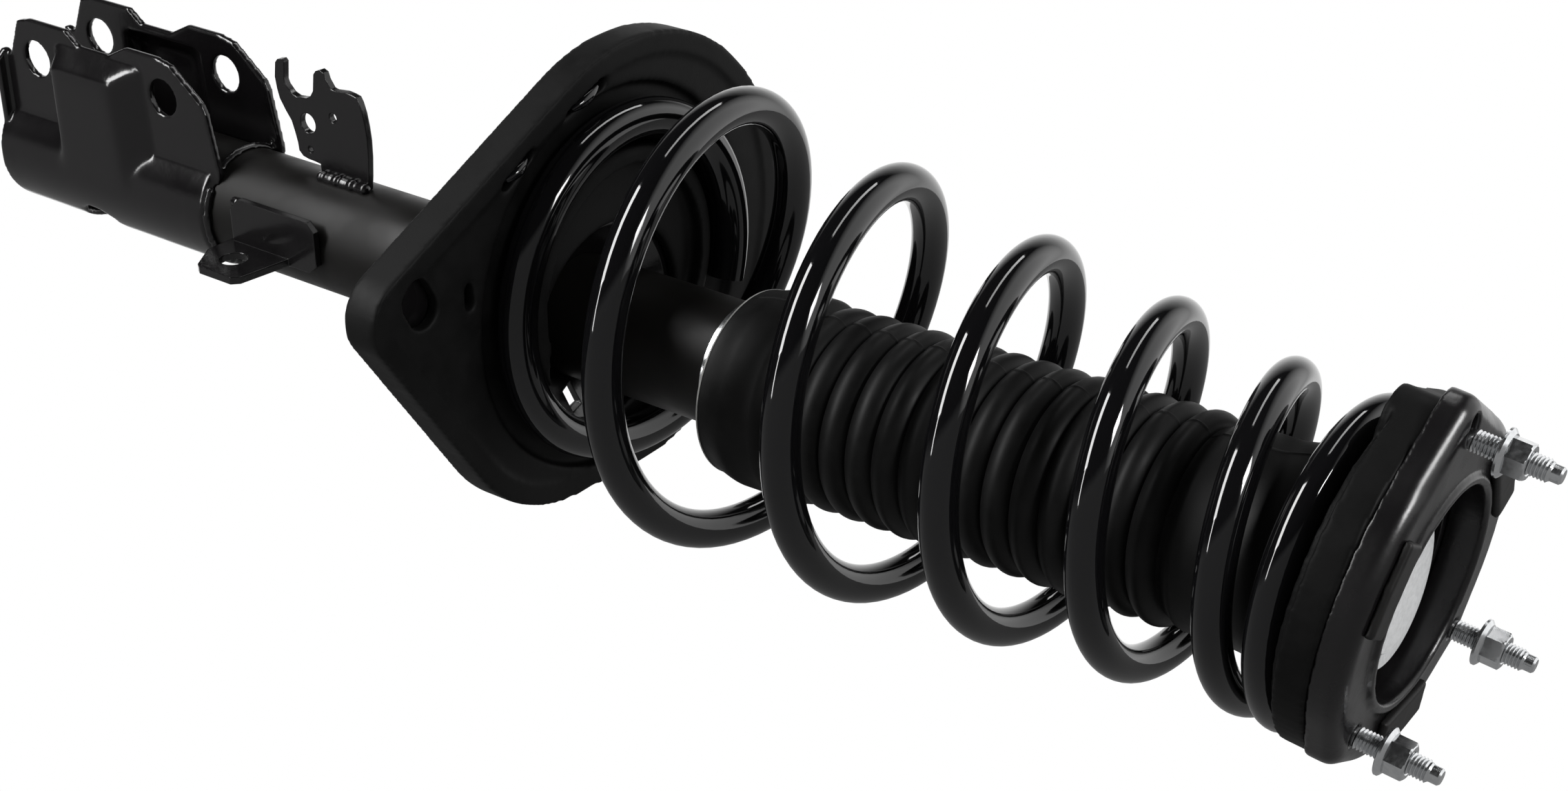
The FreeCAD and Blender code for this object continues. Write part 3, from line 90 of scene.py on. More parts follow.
def add(tree, kind, inputs=None, **settings):
    """A new node with its settings, its values and its links."""
    made = tree.nodes.new(kind)
    for name, value in settings.items():
        setattr(made, name, value)
    for name, value in (inputs or {}).items():
        if isinstance(value, bpy.types.NodeSocket):
            tree.links.new(value, made.inputs[name])
        else:
            made.inputs[name].default_value = value
    return made


def blank_material(name):
    """A material with an empty node tree."""
    made = bpy.data.materials.new(name)
    made.use_nodes = True
    made.node_tree.nodes.clear()
    return made, made.node_tree


print("black paint in linear light:", [round(c, 4) for c in colour("101011")])

# %% [markdown]
# Every finish below is made of the same few steps: noise with swellings of a given size,
# a blend of two colours, a roughness that follows the noise, and a relief that bends the
# light. Each step is one function that returns a socket for the next one.

# %% Steps of a finish
def noise(tree, size_mm, detail, roughness=0.5):
    """Noise with swellings of a size in millimetres, in the object's own coordinates."""
    place = add(tree, "ShaderNodeTexCoord").outputs["Object"]
    return add(tree, "ShaderNodeTexNoise", {"Vector": place, "Scale": 1 / (size_mm * MM), "Detail": detail,
                                            "Roughness": roughness}).outputs[0]


def blend(tree, amount, one, other):
    """Blend of two colours."""
    return add(tree, "ShaderNodeMix", {0: amount, 6: one, 7: other}, data_type="RGBA").outputs[2]


def stretch(tree, value, low, high, start=0.3, end=0.7):
    """Stretches what lies between start and end over the range from low to high."""
    return add(tree, "ShaderNodeMapRange", {"Value": value, "From Min": start, "From Max": end,
                                            "To Min": low, "To Max": high}).outputs[0]


def relief(tree, height, height_mm, edge_mm=0.0):
    """Normals bent by a relief and, where edge_mm is given, by rounded edges under it."""
    bent = add(tree, "ShaderNodeBump", {"Height": height, "Strength": 1.0, "Distance": height_mm * MM})
    if edge_mm:
        edge = add(tree, "ShaderNodeBevel", {"Radius": edge_mm * MM}, samples=6)
        tree.links.new(edge.outputs[0], bent.inputs["Normal"])
    return bent.outputs[0]


def coat(tree, tone, roughness, normal, **more):
    """Ends a material in one shader."""
    shader = add(tree, "ShaderNodeBsdfPrincipled", {
        "Base Color": tone, "Roughness": roughness, "Normal": normal, **more})
    add(tree, "ShaderNodeOutputMaterial", {"Surface": shader.outputs[0]})


print("steps of a finish ready")

# %% [markdown]
# ## Black coats
# Nearly everything on this strut is steel under black paint, yet no two paints look the
# same. The spring wears a thick gloss powder coat, the pressed brackets a dipped coat
# with visible orange peel, and the tube a thinner satin paint. Orange peel is a low
# swelling a few millimetres wide, so noise of that size drives a Bump node. A slower
# noise varies the roughness a little, as fingerprints and uneven curing do. The dipped
# coat and the shell coat also round the edges that they cover: a Bevel node bends the light
# there as a small radius would, and leaves the exact faces of the imported parts alone.

# %% Black coats on steel
def black_coat(name, code, roughness, peel_mm, peel_height_mm, ior=1.5, edge_mm=0.0):
    """Stoved black paint: dark, sharp reflections broken by orange peel."""
    made, tree = blank_material(name)
    cloud_mm, tint, tint_share = 22, colour("121111"), 0.12
    cloud = noise(tree, cloud_mm, 4.0)
    tone = blend(tree, tint_share, colour(code), blend(tree, cloud, colour(code), tint))
    rough = stretch(tree, cloud, roughness * 0.8, roughness * 1.25)
    peel = relief(tree, noise(tree, peel_mm, 2.0), peel_height_mm, edge_mm)
    coat(tree, tone, rough, peel, IOR=ior)
    return made


# Powder coat: thick and glassy, so the soft boxes show as crisp bright bars.
powder_coat = black_coat("gloss_powder_coat", "070708", roughness=0.06, peel_mm=3.2, peel_height_mm=0.006)
# Dipped coat: gloss with a fine orange peel that breaks up the lights.
dip_coat = black_coat("gloss_dip_coat", "0B0A0B", roughness=0.17, peel_mm=2.2, peel_height_mm=0.04,
                      edge_mm=0.8)
# Tube paint: satin and thin, a broad soft sheen along the tube.
tube_paint = black_coat("satin_tube_paint", "0C0B0A", roughness=0.42, peel_mm=1.4, peel_height_mm=0.012,
                        ior=1.28)
# Shell coat: semi-gloss, with the coarsest peel of the dipped parts.
shell_coat = black_coat("semi_gloss_shell_coat", "0B0A0B", roughness=0.27, peel_mm=2.4, peel_height_mm=0.05,
                        ior=1.42, edge_mm=0.8)
print("black coats:", powder_coat.name, dip_coat.name, tube_paint.name, shell_coat.name)

# %% [markdown]
# ## Moulded rubber
# The spring seats, the dust boot and the lugs are carbon-black rubber from a spark-eroded
# mould. To the eye that is nearly black with a wide dull sheen, slightly blotchy where wax
# has bloomed to the surface. Its rough skin swallows most of the sheen, which a low index
# of refraction (IOR) imitates. The mould grain is about half a millimetre; it is drawn at
# almost a millimetre here so that it still shows at the render's size.

# %% Moulded rubber
def moulded_rubber(name, code, bloom_and_highlight_tone, roughness, ior=1.33, grain_mm=0.9, grain_height_mm=0.03):
    """Carbon-black rubber, dull, blotchy with a second tone and finely grained; for the boot's pale rim
    ring both tones are a painted highlight.
    """
    made, tree = blank_material(name)
    blotch_mm = 14
    blotch = noise(tree, blotch_mm, 6.0, 0.65)
    tone = blend(tree, stretch(tree, blotch, 0.0, 1.0, 0.38, 0.68), colour(code), colour(bloom_and_highlight_tone))
    dull = stretch(tree, blotch, roughness - 0.06, roughness + 0.08)
    grain = relief(tree, noise(tree, grain_mm, 3.0), grain_height_mm)
    coat(tree, tone, dull, grain, IOR=ior)
    return made


seat_rubber = moulded_rubber("seat_rubber_moulded", "060606", "0C0C0C", 0.55, ior=1.23)
boot_rubber = moulded_rubber("boot_rubber_moulded", "080808", "0D0D0D", 0.50, ior=1.24,
                             grain_mm=0.8, grain_height_mm=0.02)
pad_rubber = moulded_rubber("insulator_rubber_moulded", "060606", "0A0A0A", 0.55, ior=1.18,
                            grain_mm=0.8, grain_height_mm=0.025)
lug_rubber = moulded_rubber("lug_rubber_moulded", "0A0909", "100F0E", 0.5)
bonded_rubber = moulded_rubber("bonded_mount_rubber", "070707", "0C0C0C", 0.55)
# Pale grey rubber for the boot's rim ring: a painted highlight, not the rubber's own colour.
rim_highlight_rubber = moulded_rubber("painted_highlight_rim_rubber", "5C5C5B", "80807E", 0.3, ior=1.42,
                            grain_mm=0.8, grain_height_mm=0.01)
print("rubbers:", seat_rubber.name, boot_rubber.name, pad_rubber.name)

# %% [markdown]
# ## Zinc, chrome and bare metals
# Studs and nuts are bright zinc on steel. Zinc is a metal to the shader, so its colour
# lives in the reflection, and small changes of roughness make the cloudy spangle of a
# plated part. The zinc of the centre cover has gone dull, so it is only partly a metal
# there and mottled. The damper rod is ground hard chrome, which is smoother and darker.
# Metals keep the default IOR.

# %% Metals
def plated_metal(name, code, shade, roughness, cloud_mm, dent_height_mm=0.004, metallic=1.0):
    """Bright metal whose sheen is slightly cloudy and finely dented."""
    made, tree = blank_material(name)
    cloud = noise(tree, cloud_mm, 5.0)
    tone = blend(tree, cloud, colour(code), colour(shade))
    rough = stretch(tree, cloud, roughness * 0.75, roughness * 1.3)
    coat(tree, tone, rough, relief(tree, cloud, dent_height_mm), Metallic=metallic)
    return made


def plain_moulding(name, code, shade, roughness, cell_mm, cell_height_mm):
    """Foam or low-friction band: pale, matt, with fine cells."""
    made, tree = blank_material(name)
    place = add(tree, "ShaderNodeTexCoord").outputs["Object"]
    cells = add(tree, "ShaderNodeTexVoronoi", {"Vector": place, "Scale": 1 / (cell_mm * MM)})
    depth = cells.outputs["Distance"]
    tone = blend(tree, depth, colour(shade), colour(code))
    coat(tree, tone, roughness, relief(tree, depth, cell_height_mm))
    return made


zinc = plated_metal("bright_zinc_plate", "E0E1E2", "BCBEC0", 0.20, cloud_mm=2.0)
zinc_cover = plated_metal("zinc_plated_cover", "E4E5E6", "A2A3A4", 0.5, cloud_mm=2.2, dent_height_mm=0.02,
                          metallic=0.4)
chrome = plated_metal("ground_hard_chrome", "C9CACC", "BDBEC0", 0.08, cloud_mm=9.0, dent_height_mm=0.001)
machined = plated_metal("machined_steel", "A9AAAC", "8E8F91", 0.32, cloud_mm=4.0)
sintered = plated_metal("sintered_iron", "7C7B79", "63625F", 0.5, cloud_mm=0.8, dent_height_mm=0.03)
bronze = plated_metal("bearing_bronze", "B08D57", "96763F", 0.35, cloud_mm=3.0)
foam = plain_moulding("polyurethane_foam", "D3C08E", "B39C64", 0.85, cell_mm=1.2, cell_height_mm=0.2)
low_friction = plain_moulding("white_low_friction_band", "E4E2DB", "D0CEC6", 0.4, cell_mm=2.5,
                              cell_height_mm=0.01)
print("metals:", zinc.name, chrome.name, machined.name)

# %% [markdown]
# ## A finish for every part
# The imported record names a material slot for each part. This table gives each slot its
# finish, so the hidden damper parts are dressed as well as those that show. Only the
# centre cover has a finish of its own.

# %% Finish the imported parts
finish_of_slot = {
    "tube_paint": tube_paint, "plain_steel": machined, "sintered_iron": sintered, "bronze": bronze,
    "seal_rubber": bonded_rubber, "zinc_plate": zinc, "gloss_black": dip_coat, "seat_rubber": seat_rubber,
    "hard_chrome": chrome, "white_ptfe": low_friction, "stop_foam": foam, "boot_rubber": boot_rubber,
    "spring_paint": powder_coat, "shell_coat": shell_coat, "mount_rubber": bonded_rubber,
}
finish_of_node = {"centre_cover": zinc_cover}
slot_of = {row["node"]: row["material_slot"] for row in frame["record"]["subparts"]}
for name, part in nodes.items():
    part.data.materials.clear()
    part.data.materials.append(finish_of_node.get(name, finish_of_slot[slot_of[name]]))
print("finished parts:", len(nodes))

# %% [markdown]
# ## Three ways of making a piece
# Round pieces are turned: a closed profile of radius and height goes round the axis, and
# its seam and poles are merged. Flat pieces are cut from a plate along an outline, with
# holes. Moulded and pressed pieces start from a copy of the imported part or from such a
# plate: it is meshed anew in even cells of about a millimetre and smoothed, so that its
# edges go round. Each ends as a plain mesh that rides on its body.

# %% Turning and cutting
def placed(name, data):
    """A new object of the scene that holds a mesh, a lamp or a camera."""
    made = bpy.data.objects.new(name, data)
    bpy.context.scene.collection.objects.link(made)
    return made


def outward(mesh):
    """Merges doubles and turns every face outwards."""
    form = bmesh.new()
    form.from_mesh(mesh)
    bmesh.ops.remove_doubles(form, verts=form.verts, dist=1e-7)
    bmesh.ops.recalc_face_normals(form, faces=form.faces)
    form.to_mesh(mesh)
    form.free()
    return mesh


def ring_skin(name, points, columns, rows):
    """Mesh of columns of points in millimetres; columns and rows close on themselves."""
    faces = []
    for i in range(columns):
        for j in range(rows):
            beside, above = (i + 1) % columns, (j + 1) % rows
            faces.append((i * rows + j, beside * rows + j, beside * rows + above, i * rows + above))
    mesh = bpy.data.meshes.new(name)
    mesh.from_pydata([(x * MM, y * MM, z * MM) for x, y, z in points], [], faces)
    return mesh


def turned(name, profile, angles, centre=None, bump=None):
    """Mesh of a closed profile in millimetres, turned through the given angles."""
    points = []
    for index, angle in enumerate(angles):
        for radius, height in profile:
            x, y = centre(height) if centre else (0.0, 0.0)
            reach = radius + (bump(index, radius, height) if bump else 0.0)
            points.append((x + reach * math.cos(angle), y + reach * math.sin(angle), height))
    return outward(ring_skin(name, points, len(angles), len(profile)))


def round_angles(count):
    """Angles that share out a full turn evenly."""
    return [2 * math.pi * i / count for i in range(count)]


def plate(name, loops, low, high, place=Matrix()):
    """Closed plate between two heights, cut along an outline and holes in millimetres."""
    outline = [(x, y) for loop in loops for x, y in loop]
    count = len(outline)
    caps = tessellate_polygon([[Vector((x, y, 0)) for x, y in loop] for loop in loops])
    faces = [tuple(f) for f in caps] + [tuple(i + count for i in f) for f in caps]
    start = 0
    for loop in loops:
        for i in range(len(loop)):
            here, ahead = start + i, start + (i + 1) % len(loop)
            faces.append((here, ahead, ahead + count, here + count))
        start += len(loop)
    mesh = bpy.data.meshes.new(name)
    mesh.from_pydata([(x * MM, y * MM, z * MM) for z in (low, high) for x, y in outline], [], faces)
    mesh.transform(place)
    return outward(mesh)


def circle_points(x, y, radius, count=32):
    """Points of a circle, as an outline or a hole of a plate."""
    return [(x + radius * math.cos(a), y + radius * math.sin(a)) for a in round_angles(count)]


def merged(name, meshes):
    """One mesh that holds several."""
    form = bmesh.new()
    for mesh in meshes:
        form.from_mesh(mesh)
    whole = bpy.data.meshes.new(name)
    form.to_mesh(whole)
    form.free()
    return whole


print("turning and cutting ready")

# %% Moulding
def plain_mesh(holder):
    """The evaluated mesh of an object that is then removed."""
    bpy.context.view_layer.update()
    evaluated = holder.evaluated_get(bpy.context.evaluated_depsgraph_get())
    mesh = bpy.data.meshes.new_from_object(evaluated)
    bpy.data.objects.remove(holder)
    return mesh


def packed_copy(name, move=None):
    """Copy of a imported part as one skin; move may shift each point, in millimetres."""
    mesh = nodes[name].data.copy()
    form = bmesh.new()
    form.from_mesh(mesh)
    bmesh.ops.remove_doubles(form, verts=form.verts, dist=2e-6)
    if move:
        for point in form.verts:
            point.co = Vector(move(*(point.co / MM))) * MM
    form.to_mesh(mesh)
    form.free()
    return mesh


def moulded(mesh, cell_mm, passes, melts=None, melt_passes=0):
    """Meshes a skin anew in even cells and smooths it, most of all where it melts."""
    holder = placed("holder", mesh)
    even = holder.modifiers.new("even", "REMESH")
    even.mode = "VOXEL"
    even.voxel_size = cell_mm * MM
    holder = placed("holder", plain_mesh(holder))
    if melts:
        zone = holder.vertex_groups.new(name="melts")
        zone.add([v.index for v in holder.data.vertices if melts(*(v.co / MM))], 1.0, "REPLACE")
        soften = holder.modifiers.new("soften", "SMOOTH")
        soften.factor, soften.iterations, soften.vertex_group = 0.6, melt_passes, "melts"
    soft = holder.modifiers.new("soft", "SMOOTH")
    soft.factor, soft.iterations = 0.5, passes
    return plain_mesh(holder)


print("moulding ready")

# %% [markdown]
# A finished mesh is hung on the body that it moves with, takes its finish, and hides the
# imported parts that it stands for. Edges sharper than the crease stay sharp.

# %% Hanging
def hang(name, mesh, body, finish, stands_for=(), crease=None):
    """Shows a mesh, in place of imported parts, on the body that it moves with."""
    mesh.materials.clear()
    mesh.materials.append(finish)
    mesh.polygons.foreach_set("use_smooth", [True] * len(mesh.polygons))
    if crease:
        mesh.set_sharp_from_angle(angle=math.radians(crease))
    piece = placed(name, mesh)
    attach(piece, body)
    if stands_for:
        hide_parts(*stands_for)
    print(name, "faces:", len(mesh.polygons))
    return piece


print("hanging ready")

# %% [markdown]
# ## Growing shapes with Geometry Nodes
# What repeats or follows a rule is grown by a node tree: the wire along its coil, the
# thread round a stud, the ripples of a weld. Each tree gets named inputs for its sizes.
# A modifier is told its values by the sockets' identifiers before it first runs, and the
# result is turned into a plain mesh.

# %% Growing
def maths(tree, operation, one, other):
    """Result of one operation on two values."""
    return add(tree, "ShaderNodeMath", {0: one, 1: other}, operation=operation).outputs[0]


def new_tree(name, sizes):
    """A geometry tree with a Geometry input and float or integer sizes."""
    tree = bpy.data.node_groups.new(name, "GeometryNodeTree")
    tree.interface.new_socket(name="Geometry", in_out="INPUT", socket_type="NodeSocketGeometry")
    for size in sizes:
        kind = "NodeSocketInt" if size in ("Sides", "Seed") else "NodeSocketFloat"
        tree.interface.new_socket(name=size, in_out="INPUT", socket_type=kind)
    tree.interface.new_socket(name="Geometry", in_out="OUTPUT", socket_type="NodeSocketGeometry")
    return tree, add(tree, "NodeGroupInput").outputs


def close_tree(tree, shape, finish):
    """Ends a tree in smooth shading, real geometry and its material."""
    smooth = add(tree, "GeometryNodeSetShadeSmooth", {"Geometry": shape})
    real = add(tree, "GeometryNodeRealizeInstances", {"Geometry": smooth.outputs[0]})
    painted = add(tree, "GeometryNodeSetMaterial", {"Geometry": real.outputs[0], "Material": finish})
    add(tree, "NodeGroupOutput", {"Geometry": painted.outputs[0]})


def grown(name, base, tree, sizes):
    """Runs a tree on a base mesh and returns the plain result."""
    holder = placed(name + "_base", base)
    grow = holder.modifiers.new("grow", "NODES")
    grow.node_group = tree
    for item in tree.interface.items_tree:
        if item.in_out == "INPUT" and item.name in sizes:
            grow[item.identifier] = sizes[item.name]
    return outward(plain_mesh(holder))


def path_mesh(name, points, radii=None):
    """Edges that join points; points and the wire's radius at each are in millimetres."""
    links = [(i, i + 1) for i in range(len(points) - 1)]
    mesh = bpy.data.meshes.new(name)
    mesh.from_pydata([(x * MM, y * MM, z * MM) for x, y, z in points], links, [])
    if radii:
        thickness = mesh.attributes.new("wire_radius", "FLOAT", "POINT")
        thickness.data.foreach_set("value", [radius * MM for radius in radii])
    return mesh


print("growing tools ready")

# %% [markdown]
# ## The coil spring
# The spring is the main form of the strut. It lies flat on the lower seat, swings out to
# its widest coil, then narrows and leans over towards the tilted mount, while its wire
# thins from 15.6 to 13.4 millimetres. The rule below gives the wire's centre at any turn;
# small rows of corrections, spread evenly over the free turns, bend it to the real coil:
# they lift it, widen it, shift it sideways and tilt it. The tree sweeps a circle along
# the course, scaled by the wire radius stored on each point.

# %% Course of the wire
lean = math.radians(6.6)
seat_face, insulator_face, mount_y = -352.0, -21.7, 1.8
wire_low, wire_high = 7.8, 6.7
channel_depth, gap_low, gap_high = 1.2, 0.15, 0.25
coil_start, coil_leave, free_turns, resting_turns, coil_steps = -20 / 360, 315 / 360, 5.1, 0.42, 560
ramp_in, ramp_out, last_pitch = 0.2, 0.25, 0.43
swing_before, swing_turns = 0.22, 0.36
low_centre, free_centre, high_centre = (5.4, 19.5), (2.2, 15.7), (5.5, -2.0)
radius_low, radius_wide, radius_high = 66.6, 88.6, 52.0
depth = -insulator_face + wire_high + gap_high
base = seat_face - channel_depth + wire_low + gap_low
top_z = -depth * math.cos(lean) + (high_centre[1] - mount_y - depth * math.sin(lean)) * math.tan(lean)
lift = [-0.03, -3.38, -2.57, -1.29, -3.38, -3.89, -4.25, -2.99, -3.34]
swell = [0.02, -1.74, -0.86, 0.12, -0.13, 0.99, -0.39, 0.03, 2.39]
drift_x, drift_y = [0.56, -1.51, -1.84], [2.80, 0.45, 1.52]
tilt_y = [1.01, 0.85, 0.69, 0.60, 0.55, 0.34]
tilt_x = [0.17, -0.15, -0.24, -0.34, -0.45, 0.27]
climb_all = ramp_in / 2 + free_turns * (1 + last_pitch) / 2 + ramp_out * last_pitch / 2


def ease(amount):
    """Soft step from 0 to 1."""
    amount = max(0.0, min(1.0, amount))
    return amount * amount * (3 - 2 * amount)


def climb(turn):
    """Share of the way from the seat to the mount at a turn."""
    past = turn - (coil_leave - ramp_in)
    if past <= 0:
        return 0.0
    if past <= ramp_in:
        return past * past / (2 * ramp_in) / climb_all
    past -= ramp_in
    if past <= free_turns:
        return (ramp_in / 2 + past - (1 - last_pitch) * past * past / (2 * free_turns)) / climb_all
    past = min(past - free_turns, ramp_out)
    done = ramp_in / 2 + free_turns * (1 + last_pitch) / 2
    return (done + last_pitch * (past - past * past / (2 * ramp_out))) / climb_all


def follow(values, turn):
    """Smooth course through evenly spread values, from the seat to the mount."""
    share = (turn - coil_leave + ramp_in) / (ramp_in + free_turns + ramp_out)
    place = max(0.0, min(0.999999, share)) * (len(values) - 1)
    i, u = int(place), place - int(place)
    a, b, c, d = ([values[0]] + values + [values[-1]])[i:i + 4]
    return 0.5 * (2 * b + (c - a) * u + (2 * a - 5 * b + 4 * c - d) * u ** 2
                  + (3 * b - a - 3 * c + d) * u ** 3)


def wire_place(turn):
    """Centre of the wire in millimetres and its radius."""
    share = climb(turn)
    spread = ease((turn - coil_leave + swing_before) / swing_turns)
    free_radius = radius_wide + (radius_high - radius_wide) * share
    reach = radius_low + (free_radius - radius_low) * spread + follow(swell, turn) * spread
    angle = 2 * math.pi * turn
    middle_x, middle_y = (low_centre[i] + (free_centre[i] - low_centre[i]) * spread
                          + (high_centre[i] - free_centre[i]) * share + follow(drift, turn) * spread
                          for i, drift in enumerate((drift_x, drift_y)))
    x, y = reach * math.cos(angle), reach * math.sin(angle)
    slope = (y * follow(tilt_y, turn) + x * follow(tilt_x, turn)) * math.tan(lean)
    z = base + share * (top_z - base) + (slope + follow(lift, turn)) * spread
    return (middle_x + x, middle_y + y, z), wire_low + (wire_high - wire_low) * share


coil_end = coil_leave + free_turns + ramp_out + resting_turns
turns = [coil_start + (coil_end - coil_start) * i / coil_steps for i in range(coil_steps + 1)]
course, radii = zip(*(wire_place(turn) for turn in turns))
print("wire from", round(course[0][2], 1), "to", round(course[-1][2], 1), "mm")

# %% The coil spring
wire_base = path_mesh("wire_course", course, radii)
wire_tree, given = new_tree("wound_wire", ["Sides"])
line = add(wire_tree, "GeometryNodeMeshToCurve", {"Mesh": given["Geometry"]})
ring = add(wire_tree, "GeometryNodeCurvePrimitiveCircle", {"Resolution": given["Sides"], "Radius": 1.0})
stored = add(wire_tree, "GeometryNodeInputNamedAttribute", {"Name": "wire_radius"}, data_type="FLOAT")
wire = add(wire_tree, "GeometryNodeCurveToMesh", {
    "Curve": line.outputs[0], "Profile Curve": ring.outputs["Curve"],
    "Scale": stored.outputs["Attribute"], "Fill Caps": True})
close_tree(wire_tree, wire.outputs[0], powder_coat)
spring = hang("tapered_coil_spring", grown("coil", wire_base, wire_tree, {"Sides": 40}),
              "mount_and_rod", powder_coat, ["coil_spring"], crease=50)
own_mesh(spring)

# %% [markdown]
# ## The dust boot
# The boot is a blown rubber sleeve with fourteen round folds and narrow valleys, a smooth
# cup at the bottom with a small bead on its rim, and a smooth neck at the top. It hangs a
# little off the axis. Turning suits it, with a fine parting line of the mould raised at
# two angles; those two lines weave over the folds as on the real part. A thin pale ring on
# the lower rim is a painted highlight for the light that the rim catches.

# %% Profile of the boot
boot_low, boot_top, cup_height, fold_count, fold_pitch = -277.2, -82.6, 32.2, 14, 11.6
cup_radius, cup_swell, cup_swell_height, cup_waist, cup_waist_height = 36.9, 2.5, 13.0, 4.4, 6.5
valley_radius, first_crest, crest_growth, fold_power = 34.9, 38.5, 1.1, 0.62
neck_swell, neck_height, collar_swell, collar_low, collar_height = 2.9, 6.0, 4.0, -58.0, 22.0
bead_centre, bead_radius, boot_wall, inside_top = 36.1, 0.95, 1.5, -36


def boot_reach(height):
    """Outer radius of the boot at a height in millimetres."""
    up = height - boot_low
    if up < cup_height:
        cup = cup_radius + cup_swell * ease(up / cup_swell_height)
        return cup - cup_waist * ease((up - cup_height + cup_waist_height) / cup_waist_height)
    if height < boot_top:
        fold = (height - boot_low - cup_height) / fold_pitch
        crest = first_crest + crest_growth * fold / fold_count
        wave = abs(math.sin(math.pi * fold))
        return valley_radius + (crest - valley_radius) * wave ** fold_power
    neck = valley_radius + neck_swell * ease((height - boot_top) / neck_height)
    return neck + collar_swell * ease((height - collar_low) / collar_height)


heights = [boot_low + 0.9 + i for i in range(31)]
for fold in range(fold_count):
    low = boot_low + cup_height + fold * fold_pitch
    heights += [low + fold_pitch * share for share in
                (0.0, 0.03, 0.07, 0.12, 0.2, 0.3, 0.4, 0.5, 0.6, 0.7, 0.8, 0.88, 0.93, 0.97)]
heights += [boot_top + i for i in (0, 1, 2, 3, 4, 5, 6, 7, 20, 25, 28, 31, 34, 37, 40, 43, 47)]
outside = [(boot_reach(h), h) for h in heights]
bead = [(bead_centre + bead_radius * math.sin(a), boot_low + bead_radius - bead_radius * math.cos(a))
        for a in [math.radians(d) for d in (-60, -30, 0, 30, 60, 90)]]
roof = [(41.7, -33.2), (41.0, -32.0), (35.8, -31.6), (23.6, -31.6), (23.6, -33.4), (35.6, -33.6)]
inside = [(reach - boot_wall, h) for reach, h in outside if h < inside_top][::-1]
print("boot profile points:", len(outside) + len(inside))

# %% The dust boot
seam_places, seam_width, seam_height = (math.radians(92), math.radians(272)), math.radians(0.9), 0.4
sag_x, sag_y = -1.9, -2.9
angles = sorted(round_angles(96) + [place + s * seam_width for place in seam_places for s in (-1, 0, 1)])
seams = [i for i, a in enumerate(angles) if any(abs(a - place) < 1e-6 for place in seam_places)]


def boot_centre(height):
    """Where the hanging boot's axis is at a height, in millimetres."""
    share = max(0.0, (boot_top - height) / (boot_top - boot_low))
    return sag_x * share, sag_y * share


def parting_line(index, radius, height):
    """How far the mould's parting line stands out of the skin."""
    outer = abs(radius - boot_reach(height)) < 0.01 and boot_low + 2 < height < -33
    return seam_height if index in seams and outer else 0.0


boot_profile = bead + outside + roof + inside
boot = hang("folded_dust_boot", turned("boot", boot_profile, angles, boot_centre, parting_line),
            "mount_and_rod", boot_rubber, ["dust_boot"], crease=60)
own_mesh(boot)
# A thin pale ring round the boot's lower rim: a painted highlight for the light that the rim catches.
highlight_ring_centre, highlight_ring_height, highlight_ring_radius = 36.5, 0.4, 0.6
rim = [(highlight_ring_centre + highlight_ring_radius * math.cos(a), boot_low + highlight_ring_height + highlight_ring_radius * math.sin(a))
       for a in round_angles(10)]
rim_highlight_ring = hang("boot_painted_highlight_ring", turned("rim_highlight_ring", rim, round_angles(120), boot_centre),
                "mount_and_rod", rim_highlight_rubber)
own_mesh(rim_highlight_ring)

# %% [markdown]
# ## The bump stop
# Inside the boot a foam spring with three soft bulges catches the tube's striker cap at
# the end of the stroke. Its profile is a wave on a slight taper, and its tip is a cone.

# %% The bump stop
stop_top, stop_length, stop_bore, stop_rows = -33.0, 74.0, 10.06, 74
stop_radius, bulge_count, bulge_height, stop_taper, stop_widest = 18.6, 3, 2.0, 3.0, 23.4
tip_from, tip_radius, tip_slope = 0.96, 17.0, 60
bulges = []
for i in range(stop_rows + 1):
    share = i / stop_rows
    wave = bulge_height * math.cos(share * 2 * math.pi * bulge_count)
    reach = min(stop_radius + wave + stop_taper * (1 - share), stop_widest)
    if share >= tip_from:
        reach = tip_radius - (share - tip_from) * tip_slope
    bulges.append((reach, stop_top - stop_length * share))
stop_profile = [(stop_bore, stop_top)] + bulges + [(stop_bore, stop_top - stop_length)]
hang("foam_bump_stop", turned("stop", stop_profile, round_angles(64)), "mount_and_rod", foam,
     ["bump_stop"], crease=45)

# %% [markdown]
# ## Moulded seats and mount
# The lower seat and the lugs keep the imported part's form and get the generous edges of
# moulded rubber. The flat coil has sunk a little into its channel. The upper insulator
# is drawn here in three layers that the moulding melts into one: a disc with a nose at
# the front, a narrower ring under it, and a block under the nose, on which the last coil
# rests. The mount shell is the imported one, with its own nose drawn out over that of the
# insulator. All but the lower seat lean with the mount.

# %% Shapes of the seats and the mount
leaned = Matrix.Translation((0, mount_y * MM, 0)) @ Matrix.Rotation(lean, 4, "X")
upright = leaned.inverted()
channel_centre, channel_inner, channel_outer = (4.7, 19.4), 55.0, 80.5
nose_draw, nose_from, nose_blend = 5.0, 52.0, 14.0
insulator_top, insulator_bore, disc_radius, disc_reach, ring_radius = -11.7, 43.5, 64.0, 69.3, 58.0
block_radius, block_y, block_back = 12.0, 57.3, 46.5
disc_low, ring_low, block_low = -23.6, -26.8, -27.6


def sunk_channel(x, y, z):
    """Lowers the points on the floor of the seat's channel."""
    from_middle = math.hypot(x - channel_centre[0], y - channel_centre[1])
    in_channel = channel_inner < from_middle < channel_outer and abs(z - seat_face) < 0.1
    return x, y, z - (channel_depth if in_channel else 0.0)


def drawn_nose(x, y, z):
    """Draws the shell's front out, along the leaning mount."""
    own = upright @ (Vector((x, y, z)) * MM)
    own.y += nose_draw * MM * ease((own.y / MM - nose_from) / nose_blend)
    return (leaned @ own) / MM


